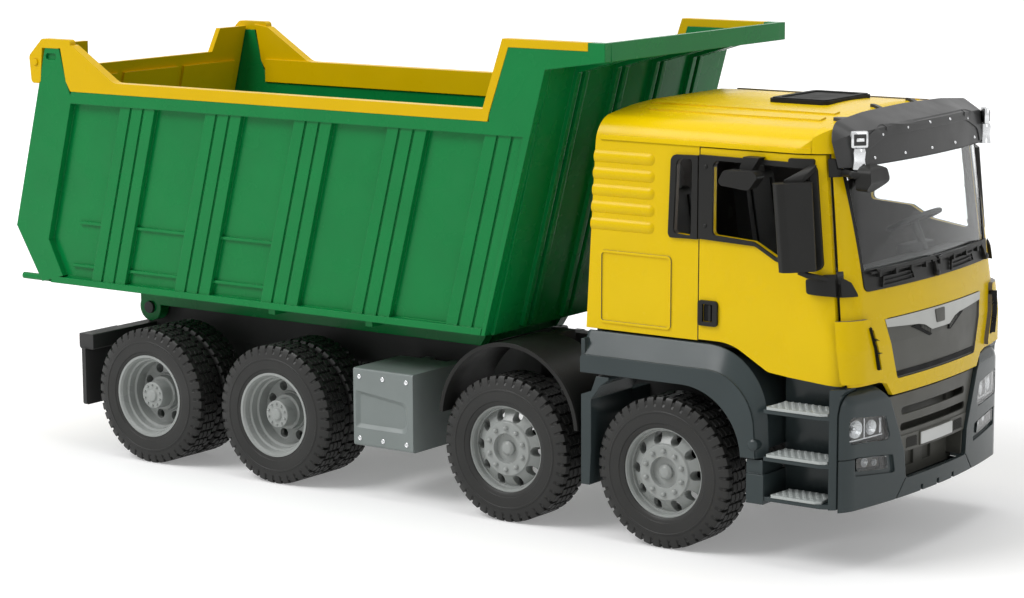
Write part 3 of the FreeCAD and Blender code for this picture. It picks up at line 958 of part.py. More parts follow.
def mirror_head():
    """Flat housing with a slanted outer strip, leaning back like the pillar and wider at the top."""
    plans = []
    for x, z, outer, inner in ((0, MIRROR_Z0, -9.0, 7.4), (-3.2, MIRROR_Z1, -10.8, 6.4)):
        wire = profile("xy", [(-3.3, outer + 2.2, 1), (0.2, outer, 1), (2.6, outer + 0.8, 1.2),
                              (3.6, outer + 3.8),
                              (3.6, inner, 2), (-3.3, inner, 1)]).OuterWire
        wire.translate(Vector(x, 0, z))
        plans.append(wire)
    head = Part.makeLoft(plans, True, True)
    head.rotate(Vector(0, 0, 0), Vector(0, 0, 1), MIRROR_YAW)
    head.translate(Vector(MIRROR_X + 1.6, MIRROR_Y, 0))
    return head


def quad_loft(*ends):
    """Solid between four-cornered ends given as lists of points."""
    return Part.makeLoft([Part.makePolygon([Vector(*p) for p in end + end[:1]]) for end in ends], True, True)


def door_trim():
    keep = side_area([(68.6, 118.4, 1.5), (door_front(117.8, -1), 117.8), (door_front(127, -1), 127),
                      (76, 126.8, 1), (68.2, 124.4, 1)], -90, -40)
    axis = SEAM + DOOR_PIN_R                   # ahead of the hinge line the foot is round about it
    behind_axis = side_area([(40, 110), (door_front(110, axis), 110), (door_front(134, axis), 134),
                             (40, 134)])
    foot = cab_form(-1.8).cut(SOLID).common(keep).common(fuse(behind_axis, hinge_bar(FOOT_R, 110, 134, -1)))
    handle = PROUD.common(side_area([(DOOR_REAR_X + 0.6, 99.8, 1.5), (24.8, 99.8, 1.5), (24.8, 110.8, 1.5),
                                     (DOOR_REAR_X + 0.6, 110.8, 1.5)], -90, -40))
    handle = handle.cut(box(17.4, 22.4, -90, -40, 101.6, 109.2))
    frame = PROUD.common(side_area(WINDOW_FRAME, -90, -40)).cut(side_area(WINDOW, -90, -40))
    low_arm = [Vector(77.5, -CAB_HALF_W + 2.0, 124.6), Vector(MIRROR_X + 4.6, MIRROR_Y + 3.0, 127.2),
               Vector(MIRROR_X + 2.0, MIRROR_Y, 129)]
    arms = [Part.makeCylinder(1.3, (b - a).Length, a, b - a) for a, b in (low_arm[:2], low_arm[1:])]
    arms.append(Part.makeSphere(1.3, low_arm[1]))
    y0, y1, y2 = -CAB_HALF_W + 2.4, MIRROR_Y + 3.6, MIRROR_Y - 3.0
    arms.append(quad_loft([(68.4, y0, 170.4), (71.2, y0 - 1.2, 170.4), (71.2, y0 - 1.2, 172.4),
                           (68.4, y0, 172.4)],
                          [(63.8, y2, MIRROR_Z1 - 1), (68.6, y1, MIRROR_Z1 - 1), (68.6, y1, MIRROR_Z1 + 1.2),
                           (63.8, y2, MIRROR_Z1 + 1.2)]))
    pad = PROUD.common(side_area([(58.6, 172.2), (69.5, 172.2), (69.5, 174.6, 1),
                                  (58.6, 174.6, 1)], -90, -40))
    return fuse(foot, handle, frame, pad, mirror_head(), *arms)


def kerb_mirror():
    y = -CAB_HALF_W
    head = slab("xz", [(28.6, 162.2, 2), (44.2, 160.6, 3), (48.8, 166.6, 1.5), (46.5, 168.8, 1.5),
                       (32, 168.6, 2.5)],
                y - 8.6, y - 2.2)
    arm = slab("xz", [(36.4, 166), (41.6, 166), (47.0, 174.2), (39.0, 174.2)], y - 4.2, y + 1.2)
    return fuse(head, arm.cut(SOLID))


TRIM = door_trim()
save("door_trim_left", mirrored(TRIM))
save("door_trim_right", fuse(TRIM, kerb_mirror()))

# Front mirror on a bracket at the right pillar's top
root = cab_form(-2.2).cut(SOLID).common(side_area([(door_front(174.6, -1.2), 174.8),
                                                   (door_front(168, -1.2), 167.2), (83.5, 167.4),
                                                   (83.5, 170.2), (78.0, 170.4), (78.0, 174.4)], -90, -40))
reach = [Vector(78.6, -61.2, 169.0), Vector(85.6, -65.5, 168.8), Vector(88.6, -62.0, 168.2)]
arm = [Part.makeCylinder(1.5, (b - a).Length, a, b - a) for a, b in (reach[:2], reach[1:])]
arm.append(Part.makeSphere(1.5, reach[1]))
head = slab("xz", [(86.9, 161.6, 1.5), (91.2, 161.0, 2), (94.2, 165.5, 2), (93.4, 171.2, 2), (88.4, 173.2, 2),
                   (86.9, 170.5, 1)],
            -65.2, -47.8)
face = slab("yz", [(-65.2, 162.4, 2), (-58.5, 161.0, 3), (-47.8, 165.0, 3), (-49.6, 170.6, 2),
                   (-56.5, 173.2, 3),
                   (-64.0, 171.0, 3)], 80, 100)
save("front_mirror", fuse(root.cut(VISOR), head.common(face), *arm))
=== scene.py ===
# %% [markdown]
# # A toy tipper truck, dressed
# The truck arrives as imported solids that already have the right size, place and joints.
# This lesson gives them their finishes and adds the small forms that a press tool or a mould
# leaves on the real toy: tread blocks, rivets, gratings, lamps, wipers and mirror glass.
# Loading comes first, so that every later cell can ask the solids where they are.

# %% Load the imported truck
import math

import bmesh
import bpy
from mathutils import Matrix, Vector
from mathutils.bvhtree import BVHTree


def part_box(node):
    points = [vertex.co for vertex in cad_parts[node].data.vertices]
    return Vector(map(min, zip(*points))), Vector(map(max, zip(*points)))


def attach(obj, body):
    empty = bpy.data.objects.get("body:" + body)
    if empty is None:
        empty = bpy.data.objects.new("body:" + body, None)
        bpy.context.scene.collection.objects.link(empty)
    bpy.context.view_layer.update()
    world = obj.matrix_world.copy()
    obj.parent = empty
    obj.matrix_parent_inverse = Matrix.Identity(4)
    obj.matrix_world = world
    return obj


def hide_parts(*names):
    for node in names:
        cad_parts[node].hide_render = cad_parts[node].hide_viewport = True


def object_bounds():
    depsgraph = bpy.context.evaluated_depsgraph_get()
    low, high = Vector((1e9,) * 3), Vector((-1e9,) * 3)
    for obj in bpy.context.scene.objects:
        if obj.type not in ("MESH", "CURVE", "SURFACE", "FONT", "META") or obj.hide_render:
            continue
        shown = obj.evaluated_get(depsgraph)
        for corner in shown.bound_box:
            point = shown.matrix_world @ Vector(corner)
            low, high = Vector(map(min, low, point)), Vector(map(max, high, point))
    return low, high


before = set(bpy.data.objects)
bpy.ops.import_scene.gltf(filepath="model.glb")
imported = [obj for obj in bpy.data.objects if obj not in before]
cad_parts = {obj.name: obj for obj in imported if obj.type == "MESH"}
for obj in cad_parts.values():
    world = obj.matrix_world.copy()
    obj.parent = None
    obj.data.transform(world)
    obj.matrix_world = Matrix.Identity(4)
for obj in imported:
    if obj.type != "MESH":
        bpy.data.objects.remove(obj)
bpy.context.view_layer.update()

# %% [markdown]
# ## One ruler for the whole truck
# All the added pieces are set out in millimetres from the middle of the front axle, which is how
# a maker's drawing of a truck is dimensioned. The axle's place is read from the front rim, so the
# ruler moves with the solids if they are ever packed anew. `spot` turns such a dimension into a
# point in metres.

# %% Ruler
rim_low, rim_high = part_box("rim_1_right")
axle_x = (rim_low.x + rim_high.x) / 2


def spot(x, y, z):
    """Point given in mm from the front axle's middle, as metres in the truck's frame."""
    return Vector((axle_x + x / 1000, y / 1000, z / 1000))


print("front axle at", round(axle_x * 1000, 1), "mm")

# %% [markdown]
# ## Moulded plastic
# Nearly all of the toy is injection-moulded plastic. It is never one flat colour: the pigment
# swirls a little, the gloss varies where the mould was polished, and the surface has a fine
# orange-peel that only shows in the highlights. All of that could be painted as images, but then
# every piece would need unwrapping. Noise that lives in object space needs no unwrapping and has
# the same scale on a bumper and on a bolt, so it is used here. A small rounding of the normals
# stands for the radius that every moulded edge has.

# %% Plastic finish
def shader(name):
    made = bpy.data.materials.new(name)
    made.use_nodes = True
    return made, made.node_tree.nodes, made.node_tree.links, made.node_tree.nodes["Principled BSDF"]


def noise(nodes, links, place, scale, detail=3.0):
    found = nodes.new("ShaderNodeTexNoise")
    found.inputs["Scale"].default_value = scale
    found.inputs["Detail"].default_value = detail
    links.new(place.outputs["Object"], found.inputs["Vector"])
    return found


def spread_to(nodes, links, source, low, high):
    """The middle of a noise's range, spread from low to high."""
    span = nodes.new("ShaderNodeMapRange")
    span.inputs["From Min"].default_value, span.inputs["From Max"].default_value = 0.3, 0.7
    span.inputs["To Min"].default_value, span.inputs["To Max"].default_value = low, high
    links.new(source, span.inputs["Value"])
    return span.outputs["Result"]


def tinted(nodes, links, fac, dark, light):
    mix = nodes.new("ShaderNodeMix")
    mix.data_type = "RGBA"
    mix.inputs["A"].default_value, mix.inputs["B"].default_value = (*dark, 1), (*light, 1)
    links.new(fac, mix.inputs["Factor"])
    return mix.outputs["Result"]


def plastic(name, colour, rough, mottle=0.05, grain=0.04, grain_scale=1400, shine=0.18, edge=0.00035):
    """Moulded plastic: mottled colour, uneven gloss, a fine grain and softened edges."""
    made, nodes, links, surface = shader(name)
    place = nodes.new("ShaderNodeTexCoord")
    swirl = noise(nodes, links, place, 38)
    fac = spread_to(nodes, links, swirl.outputs["Fac"], 0, 1)
    dark = tuple(c * (1 - mottle) for c in colour)
    light = tuple(min(1, c * (1 + mottle)) for c in colour)
    links.new(tinted(nodes, links, fac, dark, light), surface.inputs["Base Color"])
    polish = noise(nodes, links, place, 90, 2)
    gloss = spread_to(nodes, links, polish.outputs["Fac"], rough * 0.85, rough * 1.15)
    links.new(gloss, surface.inputs["Roughness"])
    peel = noise(nodes, links, place, grain_scale, 2)
    bump = nodes.new("ShaderNodeBump")
    bump.inputs["Strength"].default_value = grain
    bump.inputs["Distance"].default_value = 0.0004
    soft = nodes.new("ShaderNodeBevel")
    soft.samples = 4
    soft.inputs["Radius"].default_value = edge
    links.new(soft.outputs["Normal"], bump.inputs["Normal"])
    links.new(peel.outputs["Fac"], bump.inputs["Height"])
    links.new(bump.outputs["Normal"], surface.inputs["Normal"])
    surface.inputs["Specular IOR Level"].default_value = shine
    return made


cab_yellow = plastic("cab_yellow", (0.785, 0.535, 0.0), 0.26, mottle=0.02, grain=0.015, shine=0.16)
# Rails and tailgate: the cab's yellow, made darker and more orange as painted shade.
rail_yellow = plastic("rail_yellow", (0.71, 0.45, 0.0), 0.32, mottle=0.03, grain=0.02, shine=0.14)
tub_green = plastic("tub_green", (0.002, 0.196, 0.045), 0.26, mottle=0.05, grain=0.015, shine=0.16, edge=0.0006)
slate_blue = plastic("slate_blue", (0.036, 0.049, 0.051), 0.20, mottle=0.06, grain=0.015, shine=0.24, edge=0.0006)
satin_black = plastic("satin_black", (0.015, 0.015, 0.014), 0.40, mottle=0.12, grain=0.10, grain_scale=1900)
visor_black = plastic("visor_black", (0.040, 0.040, 0.040), 0.34, mottle=0.08, grain=0.03, shine=0.3)
frame_black = plastic("frame_black", (0.036, 0.036, 0.036), 0.50, mottle=0.12, grain=0.08, shine=0.25)
grille_grey = plastic("grille_grey", (0.085, 0.085, 0.074), 0.42, mottle=0.06, grain=0.05, shine=0.25)
silver_grey = plastic("silver_grey", (0.205, 0.232, 0.226), 0.34, mottle=0.05, grain=0.05, shine=0.3)
tread_silver = plastic("tread_silver", (0.42, 0.45, 0.44), 0.30, mottle=0.05, grain=0.04, shine=0.4)
rim_silver = plastic("rim_silver", (0.30, 0.315, 0.305), 0.30, mottle=0.06, grain=0.05, shine=0.4)
inside_grey = plastic("inside_grey", (0.075, 0.075, 0.073), 0.45, mottle=0.08, grain=0.03)
tyre_black = plastic("tyre_black", (0.021, 0.021, 0.020), 0.42, mottle=0.18, grain=0.12, grain_scale=1100,
                     shine=0.28, edge=0.0003)
hatch_black = plastic("hatch_black", (0.016, 0.016, 0.015), 0.55, mottle=0.12, grain=0.06, shine=0.10)
print("plastics:", len(bpy.data.materials))

# %% [markdown]
# ## Clear plastic and chrome
# The windscreen and the lamp glasses are clear polystyrene: glossy, very slightly grey, with faint
# waves from the mould. The marker lamps' stems and the reflectors are vacuum-chromed plastic, so
# they are a plain bright metal with a little unevenness rather than a mirror.

# %% Clear and chrome finishes
def clear(name, tint, rough, waves):
    made, nodes, links, surface = shader(name)
    place = nodes.new("ShaderNodeTexCoord")
    wave = noise(nodes, links, place, 60, 1)
    bump = nodes.new("ShaderNodeBump")
    bump.inputs["Strength"].default_value = waves
    bump.inputs["Distance"].default_value = 0.0003
    links.new(wave.outputs["Fac"], bump.inputs["Height"])
    links.new(bump.outputs["Normal"], surface.inputs["Normal"])
    fac = spread_to(nodes, links, wave.outputs["Fac"], 0, 1)
    links.new(tinted(nodes, links, fac, tuple(c * 0.97 for c in tint), tint), surface.inputs["Base Color"])
    surface.inputs["Transmission Weight"].default_value = 1.0
    surface.inputs["Roughness"].default_value = rough
    surface.inputs["IOR"].default_value = 1.3
    return made


def chrome(name, colour, rough):
    made = plastic(name, colour, rough, mottle=0.03, grain=0.02, edge=0.0002)
    made.node_tree.nodes["Principled BSDF"].inputs["Metallic"].default_value = 1.0
    return made


clear_screen = clear("clear_screen", (0.86, 0.89, 0.89), 0.02, 0.03)
lamp_clear = clear("lamp_clear", (0.96, 0.97, 0.97), 0.03, 0.10)
bright_chrome = chrome("bright_chrome", (0.62, 0.63, 0.64), 0.16)
lamp_chrome = chrome("lamp_chrome", (0.42, 0.43, 0.44), 0.24)
wing_silver = chrome("wing_silver", (0.34, 0.345, 0.33), 0.34)
mirror_glass = chrome("mirror_glass", (0.80, 0.82, 0.84), 0.05)
plate_white = plastic("plate_white", (0.66, 0.67, 0.66), 0.4, mottle=0.02)
lamp_red = plastic("lamp_red", (0.45, 0.006, 0.004), 0.18, mottle=0.06, shine=0.5)
lamp_amber = plastic("lamp_amber", (0.80, 0.20, 0.0), 0.18, mottle=0.05, shine=0.5)
# Deepest black, for flat sheets that are painted shade in gaps, slots and the handles' scoops.
shade_black = plastic("shade_black", (0.006, 0.006, 0.006), 0.7, mottle=0.2, grain=0.12)
print("finishes made:", len(bpy.data.materials))

# %% [markdown]
# ## Painting the solids
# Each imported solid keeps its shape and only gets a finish. The list goes by moulding: what is one
# colour on the toy came out of one mould.

# %% Finishes on the solids
moulded = {
    cab_yellow: ["cab_body", "cab_roof", "cab_front", "door_right", "door_left"],
    rail_yellow: ["tub_rails", "tailgate"],
    tub_green: ["tub_floor", "tub_side_right", "tub_side_left", "tub_front"],
    slate_blue: ["bumper", "step_boxes", "wheel_flaps", "cab_fenders"],
    visor_black: ["sun_visor"],
    hatch_black: ["roof_hatch"],
    satin_black: ["cowl", "front_mirror", "door_trim_right", "door_trim_left",
                  "quarter_frames", "mudguards"],
    frame_black: ["frame", "rear_beam", "engine_block", "front_axle", "second_axle", "rear_axles",
                  "knuckle_right", "knuckle_left", "tie_rod", "ram_barrel"],
    grille_grey: ["bumper_grille", "grille_panel"],
    silver_grey: ["tool_box", "fuel_tank"],
    tread_silver: ["step_treads"],
    bright_chrome: ["ram_middle", "ram_rod"],
    wing_silver: ["grille_wing"],
    clear_screen: ["windscreen"],
    lamp_clear: ["front_lamps"],
    inside_grey: ["cab_interior"],
}
for finish, names in moulded.items():
    for name in names:
        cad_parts[name].data.materials.clear()
        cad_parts[name].data.materials.append(finish)
for name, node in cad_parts.items():
    if name.startswith("rim_"):
        node.data.materials.clear()
        node.data.materials.append(rim_silver)
print("painted:", sum(len(v) for v in moulded.values()), "solids and 8 rims")

# %% [markdown]
# ## Painted shade inside the cab
# The cab is yellow inside too, but through its windows the walls read as dark grey in their shade,
# so that shade is painted in. Wall and inside are one solid here, so the finish itself has to tell
# inner faces from outer ones. A face looks inwards when its normal points towards the middle of the
# cab. The middle is written in the solids' own coordinates, so the painted shade stays put when the cab tilts.

# %% Painted shade by the way a face looks
def paint_inner_shade(finish, middle, inner_shade):
    """Mixes painted shade into a finish where faces look towards a middle point."""
    nodes, links = finish.node_tree.nodes, finish.node_tree.links
    surface = nodes["Principled BSDF"]
    outside = surface.inputs["Base Color"].links[0].from_socket
    place = nodes.new("ShaderNodeTexCoord")
    away = nodes.new("ShaderNodeVectorMath")
    away.operation = "SUBTRACT"
    away.inputs[1].default_value = middle
    links.new(place.outputs["Object"], away.inputs[0])
    facing = nodes.new("ShaderNodeVectorMath")
    facing.operation = "DOT_PRODUCT"
    links.new(away.outputs["Vector"], facing.inputs[0])
    links.new(place.outputs["Normal"], facing.inputs[1])
    outward = nodes.new("ShaderNodeMath")
    outward.operation = "GREATER_THAN"
    outward.inputs[1].default_value = 0.0
    links.new(facing.outputs["Value"], outward.inputs[0])
    links.new(tinted(nodes, links, outward.outputs["Value"], inner_shade, (1, 1, 1)), surface.inputs["Base Color"])
    links.new(outside, surface.inputs["Base Color"].links[0].from_node.inputs["B"])


cab_middle = spot(20, 0, 135)
# Painted shade: the cab's inner faces get a dark grey instead of yellow.
paint_inner_shade(cab_yellow, cab_middle, (0.15, 0.137, 0.13))
print("lining faces", [round(v * 1000, 1) for v in cab_middle])

# %% [markdown]
# ## Making a mesh into a piece
# Every added form goes through one small helper: it names the mesh, shades it, gives it a finish
# and lets it ride on the body that carries it, so that it follows when the cab tilts or the tub
# tips.

# %% Piece helper
def piece(name, mesh, finish, body, smooth=40):
    """A finished object from a bmesh, riding on a body."""
    data = bpy.data.meshes.new(name)
    bmesh.ops.recalc_face_normals(mesh, faces=mesh.faces)
    mesh.to_mesh(data)
    mesh.free()
    made = bpy.data.objects.new(name, data)
    bpy.context.scene.collection.objects.link(made)
    data.materials.append(finish)
    for face in data.polygons:
        face.use_smooth = True
    sharp = math.radians(smooth)
    data.set_sharp_from_angle(angle=sharp)
    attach(made, body)
    return made

# %% [markdown]
# ## Tyres
# The toy's tyres are one moulding with the look of a road truck's: five rows of blocks parted by
# zig-zag grooves, cross cuts between the blocks, open notches on both shoulders and thin rings on
# the side walls. A displacement map could hint at this, but the notches break the tyre's outline,
# so they have to be real. The tread is built as a grid: columns follow the section from bead to
# bead, rows go round the wheel, and each grid point is simply moved in or out. Columns that lie on
# a groove's edge swing to and fro as they go round, which is all that a zig-zag groove needs.

# %% Tyre section and pattern
TYRE_R, BEAD_R, PITCHES = 33.5, 19.9, 42
SINGLE_WIDTH, TWIN_WIDTH, TWIN_PITCH = 20.0, 17.6, 18.6
PHASES = (0.0, 0.05, 0.27, 0.32, 0.50, 0.55, 0.72, 0.77)


def swing(phase):
    """Triangle wave from -1 to 1 and back over one pitch of the tread."""
    return 1 - 4 * abs((phase + 0.25) % 1.0 - 0.5)


def tyre_columns(width):
    """(place across, radius, kind, share of the zig-zag) from the outer bead to the inner one."""
    cols = [(0.7, BEAD_R, "side", 0), (0.1, 20.8, "side", 0), (-0.1, 22.0, "side", 0), (-0.45, 22.2, "side", 0),
            (-0.6, 24.2, "side", 0), (-0.62, 26.6, "side", 0), (-0.85, 26.8, "side", 0), (-0.8, 27.4, "side", 0),
            (-0.5, 27.6, "side", 0), (-0.3, 29.4, "side", 0), (0.0, 30.6, "wall", 0), (0.5, 32.6, "edge", 0),
            (1.1, TYRE_R, "shoulder", 0)]
    low, high = 1.1, width - 1.7
    pitch = (high - low) / 5
    for n in range(1, 5):
        middle = low + pitch * n
        kind = "shoulder" if n == 1 else "block"
        after = "shoulder" if n == 4 else "block"
        cols += [(middle - 0.42, TYRE_R, kind, 1), (middle - 0.28, TYRE_R - 1.3, "groove", 1),
                 (middle + 0.28, TYRE_R - 1.3, "groove", 1), (middle + 0.42, TYRE_R, after, 1)]
    mirror = [(width - 0.6 - a, r, kind, 0) for a, r, kind, _ in reversed(cols[:13])]
    return cols + mirror


def tyre_radius(radius, kind, step):
    notch = step in (1, 2)
    cut = step in (5, 6)
    if notch and kind == "shoulder":
        return radius - 1.3
    if notch and kind == "edge":
        return radius - 0.9
    if notch and kind == "wall":
        return radius - 0.1
    if cut and kind == "block":
        return radius - 0.8
    return radius


print("tread grid:", len(tyre_columns(SINGLE_WIDTH)), "columns by", PITCHES * len(PHASES), "rows")


# %% Tyre mesh
def tyre_rings(mesh, x, lip_y, side, start, width):
    columns = tyre_columns(width)
    rings = []
    for pitch in range(PITCHES):
        for step, phase in enumerate(PHASES):
            angle = 2 * math.pi * (pitch + phase) / PITCHES
            ring = []
            for across, radius, kind, zigzag in columns:
                r = tyre_radius(radius, kind, step)
                pulled = 0.55 if kind == "wall" and step in (1, 2) else 0
                middle = width / 2 - 0.3
                a = across + 0.5 * zigzag * swing(phase) + math.copysign(pulled, middle - across)
                ring.append(mesh.verts.new(spot(x + r * math.sin(angle), side * (lip_y - start - a),
                                                TYRE_R + r * math.cos(angle))))
            rings.append(ring)
    count = len(columns)
    for one, two in zip(rings, rings[1:] + rings[:1]):
        for k in range(count):
            n = (k + 1) % count
            mesh.faces.new((one[k], one[n], two[n], two[k]))


axles = [round((sum(c.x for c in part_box(f"rim_{n}_right")) / 2 - axle_x) * 1000, 2) for n in (1, 2, 3, 4)]
for n, x in enumerate(axles, 1):
    for side, hand in ((-1, "right"), (1, "left")):
        lip = max(abs(c.y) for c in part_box(f"rim_{n}_{hand}")) * 1000
        if n < 3:
            starts, width, node = (0.0,), SINGLE_WIDTH, f"tyre_{n}_{hand}"
        else:
            starts, width, node = (0.0, TWIN_PITCH), TWIN_WIDTH, f"tyres_{n}_{hand}"
        mesh = bmesh.new()
        for start in starts:
            tyre_rings(mesh, x, lip, side, start, width)
        made = piece(f"tread_{n}_{hand}", mesh, tyre_black, f"wheel_{n}_{hand}", smooth=25)
        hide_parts(node)
print("tyres at", axles)

# %% [markdown]
# ## Laying thin forms on a curved skin
# Most small forms of the toy lie on a bowed panel: a plate, a seal, a wiper, a vent. Setting each
# out in space by hand would never match the bow. Instead the outline is drawn flat, as seen square
# on from the front or the side, cut into small cells so that it can bend, and thrown on to the
# solid like a slide on a wall. A second copy a little higher gives it thickness.

# %% Outline with round corners
def rounded(points, steps=4):
    """Flat outline whose corners may carry a radius as a third number."""
    out = []
    for n, point in enumerate(points):
        here = Vector(point[:2])
        radius = point[2] if len(point) > 2 else 0
        if not radius:
            out.append(here)
            continue
        before = (Vector(points[n - 1][:2]) - here).normalized()
        after = (Vector(points[(n + 1) % len(points)][:2]) - here).normalized()
        half = before.angle(after) / 2
        reach = radius / math.tan(half)
        centre = here + (before + after).normalized() * radius / math.sin(half)
        start, end = here + before * reach - centre, here + after * reach - centre
        turn = start.angle_signed(end)
        for k in range(steps + 1):
            out.append(centre + Matrix.Rotation(-turn * k / steps, 2) @ start)
    return out


def oblong(u0, v0, u1, v1, r=0.5):
    return [(u0, v0, r), (u1, v0, r), (u1, v1, r), (u0, v1, r)]


skins = {}


def skin_of(node):
    """Search tree of a solid's surface, made once."""
    if node not in skins:
        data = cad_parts[node].data
        skins[node] = BVHTree.FromPolygons([v.co for v in data.vertices], [p.vertices[:] for p in data.polygons])
    return skins[node]


print("square outline has", len(rounded(oblong(0, 0, 4, 4))), "points")


# %% Throw an outline on to a skin
LOOKS = {"front": (Vector((1, 0, 0)), lambda u, v: spot(200, u, v)),
         "rear": (Vector((-1, 0, 0)), lambda u, v: spot(-500, u, v)),
         "right": (Vector((0, -1, 0)), lambda u, v: spot(u, -200, v)),
         "left": (Vector((0, 1, 0)), lambda u, v: spot(u, 200, v)),
         "top": (Vector((0, 0, 1)), lambda u, v: spot(u, v, 400))}


def land(nodes, look, u, v):
    """Where a sight line in mm meets the nearest of some solids, and the skin's normal there."""
    out, start = LOOKS[look]
    best = None
    for node in nodes:
        hit, normal, _, reach = skin_of(node).ray_cast(start(u, v), -out)
        if hit and (best is None or reach < best[2]):
            best = (hit, normal if normal.dot(out) > 0 else -normal, reach)
    return best


def laid(mesh, nodes, look, outline, low, high, cell=4.0, hole=None):
    """Adds to mesh a sheet between two heights above a skin, in mm, with an optional hole in it."""
    flat = bmesh.new()
    rim = [flat.verts.new((p.x, p.y, 0)) for p in rounded(outline)]
    if hole:
        inner = [flat.verts.new((p.x, p.y, 0)) for p in rounded(hole)]
        edges = [flat.edges.new((a, b)) for loop in (rim, inner) for a, b in zip(loop, loop[1:] + loop[:1])]
        bmesh.ops.triangle_fill(flat, use_beauty=True, use_dissolve=False, edges=edges)
    else:
        flat.faces.new(rim)
    for axis in (0, 1):
        values = [v.co[axis] for v in flat.verts]
        at = math.floor(min(values) / cell) * cell + cell
        while at < max(values):
            point = Vector((at, 0, 0)) if axis == 0 else Vector((0, at, 0))
            normal = Vector((1, 0, 0)) if axis == 0 else Vector((0, 1, 0))
            bmesh.ops.bisect_plane(flat, geom=flat.verts[:] + flat.edges[:] + flat.faces[:], plane_co=point,
                                   plane_no=normal, dist=1e-5)
            at += cell
    out = LOOKS[look][0]
    pairs, lost = {}, 0
    for vert in flat.verts:
        found = land(nodes, look, vert.co.x, vert.co.y)
        if found is None:
            lost += 1
            pairs[vert] = None
            continue
        hit, normal, _ = found
        lift = (out + normal).normalized() if normal.dot(out) > 0.2 else out
        pairs[vert] = (mesh.verts.new(hit + lift * low / 1000), mesh.verts.new(hit + lift * high / 1000))
    for face in flat.faces:
        corners = [pairs[v] for v in face.verts]
        if None in corners:
            continue
        mesh.faces.new([c[1] for c in corners])
        mesh.faces.new([c[0] for c in reversed(corners)])
    for edge in flat.edges:
        if len(edge.link_faces) == 1 and all(pairs[v] for v in edge.verts):
            a, b = (pairs[v] for v in edge.verts)
            mesh.faces.new((a[0], b[0], b[1], a[1]))
    flat.free()
    return lost


def laid_piece(name, nodes, look, outlines, low, high, finish, body, slot, **more):
    mesh = bmesh.new()
    lost = sum(laid(mesh, nodes, look, o, low, high, **more) for o in outlines)
    if lost:
        print(name, "missed the skin at", lost, "points")
    return piece(name, mesh, finish, body)


def domes(name, nodes, look, places, radius, height, finish, body):
    """Rivet heads: low domes that stand square on the skin."""
    mesh = bmesh.new()
    for u, v in places:
        found = land(nodes, look, u, v)
        if found is None:
            print(name, "missed at", u, v)
            continue
        hit, normal, _ = found
        turn = normal.to_track_quat("Z", "Y").to_matrix().to_4x4()
        rings = [[mesh.verts.new(Matrix.Translation(hit) @ turn @ Vector(
            (r * math.cos(math.tau * k / 12) / 1000, r * math.sin(math.tau * k / 12) / 1000, h / 1000)))
            for k in range(12)] for r, h in ((radius, -0.1), (radius, height * 0.4), (radius * 0.7, height * 0.85))]
        tip = mesh.verts.new(Matrix.Translation(hit) @ turn @ Vector((0, 0, height / 1000)))
        for one, two in zip(rings, rings[1:]):
            for k in range(12):
                mesh.faces.new((one[k], one[(k + 1) % 12], two[(k + 1) % 12], two[k]))
        for k in range(12):
            mesh.faces.new((rings[-1][k], rings[-1][(k + 1) % 12], tip))
    return piece(name, mesh, finish, body)


print("windscreen skin at the middle:", [round(c * 1000, 1) for c in land(["windscreen"], "front", 0, 150)[0]])

# %% [markdown]
# ## Small turned and boxed forms
# Lamp bowls, stems and caps are turned forms: a short section spun round a line. Straps, lamp
# housings and the forms on the dash are blocks with soft edges. Two helpers cover both, and a
# third writes out the corners of an upright block. A bevel keeps a block from looking like a
# primitive.

# %% Turned and blocked forms
def turned(mesh, section, centre, along, steps=24):
    """Spins a section of (distance along, radius) in mm round a line through a point in metres."""
    turn = Matrix.Translation(centre) @ Vector(along).normalized().to_track_quat("Z", "Y").to_matrix().to_4x4()
    rings = []
    for reach, radius in section:
        if radius < 1e-6:
            rings.append([mesh.verts.new(turn @ Vector((0, 0, reach / 1000)))])
        else:
            rings.append([mesh.verts.new(turn @ Vector((radius * math.cos(math.tau * k / steps) / 1000,
                                                        radius * math.sin(math.tau * k / steps) / 1000,
                                                        reach / 1000))) for k in range(steps)])
    for one, two in zip(rings, rings[1:]):
        for k in range(steps):
            n = (k + 1) % steps
            if len(one) == 1 and len(two) == 1:
                continue
            if len(one) == 1:
                mesh.faces.new((one[0], two[n], two[k]))
            elif len(two) == 1:
                mesh.faces.new((one[k], one[n], two[0]))
            else:
                mesh.faces.new((one[k], one[n], two[n], two[k]))


def block(mesh, corners, bevel=0.3):
    """Block between four bottom corners and four top corners in mm, edges softened."""
    own = bmesh.new()
    verts = [own.verts.new(spot(*c)) for c in corners]
    for quad in ((3, 2, 1, 0), (4, 5, 6, 7), (0, 1, 5, 4), (1, 2, 6, 5), (2, 3, 7, 6), (3, 0, 4, 7)):
        own.faces.new([verts[k] for k in quad])
    bmesh.ops.recalc_face_normals(own, faces=own.faces)
    if bevel:
        bmesh.ops.bevel(own, geom=own.edges[:], offset=bevel / 1000, segments=2, profile=0.5, affect="EDGES",
                        clamp_overlap=True)
    spare = bpy.data.meshes.new("spare")
    own.to_mesh(spare)
    own.free()
    mesh.from_mesh(spare)
    bpy.data.meshes.remove(spare)


def brick(mesh, x0, x1, y0, y1, z0, z1, bevel=0.3):
    block(mesh, [(x0, y0, z0), (x1, y0, z0), (x1, y1, z0), (x0, y1, z0),
                 (x0, y0, z1), (x1, y0, z1), (x1, y1, z1), (x0, y1, z1)], bevel)


print("helpers ready:", turned.__name__, block.__name__, brick.__name__)

# %% [markdown]
# ## Bumper lamps
# Behind the upper lamp glass sits a chromed tray with a large bowl for the main beam, a smaller one
# beside it and thin strips between them, and behind the fog lamp's glass are two small bowls. From
# outside only sparkle and dark gaps show, so the bowls are plain turned dishes with a bulb in the
# middle. They stand just behind the glass, turned a little outwards with the bumper's corner.

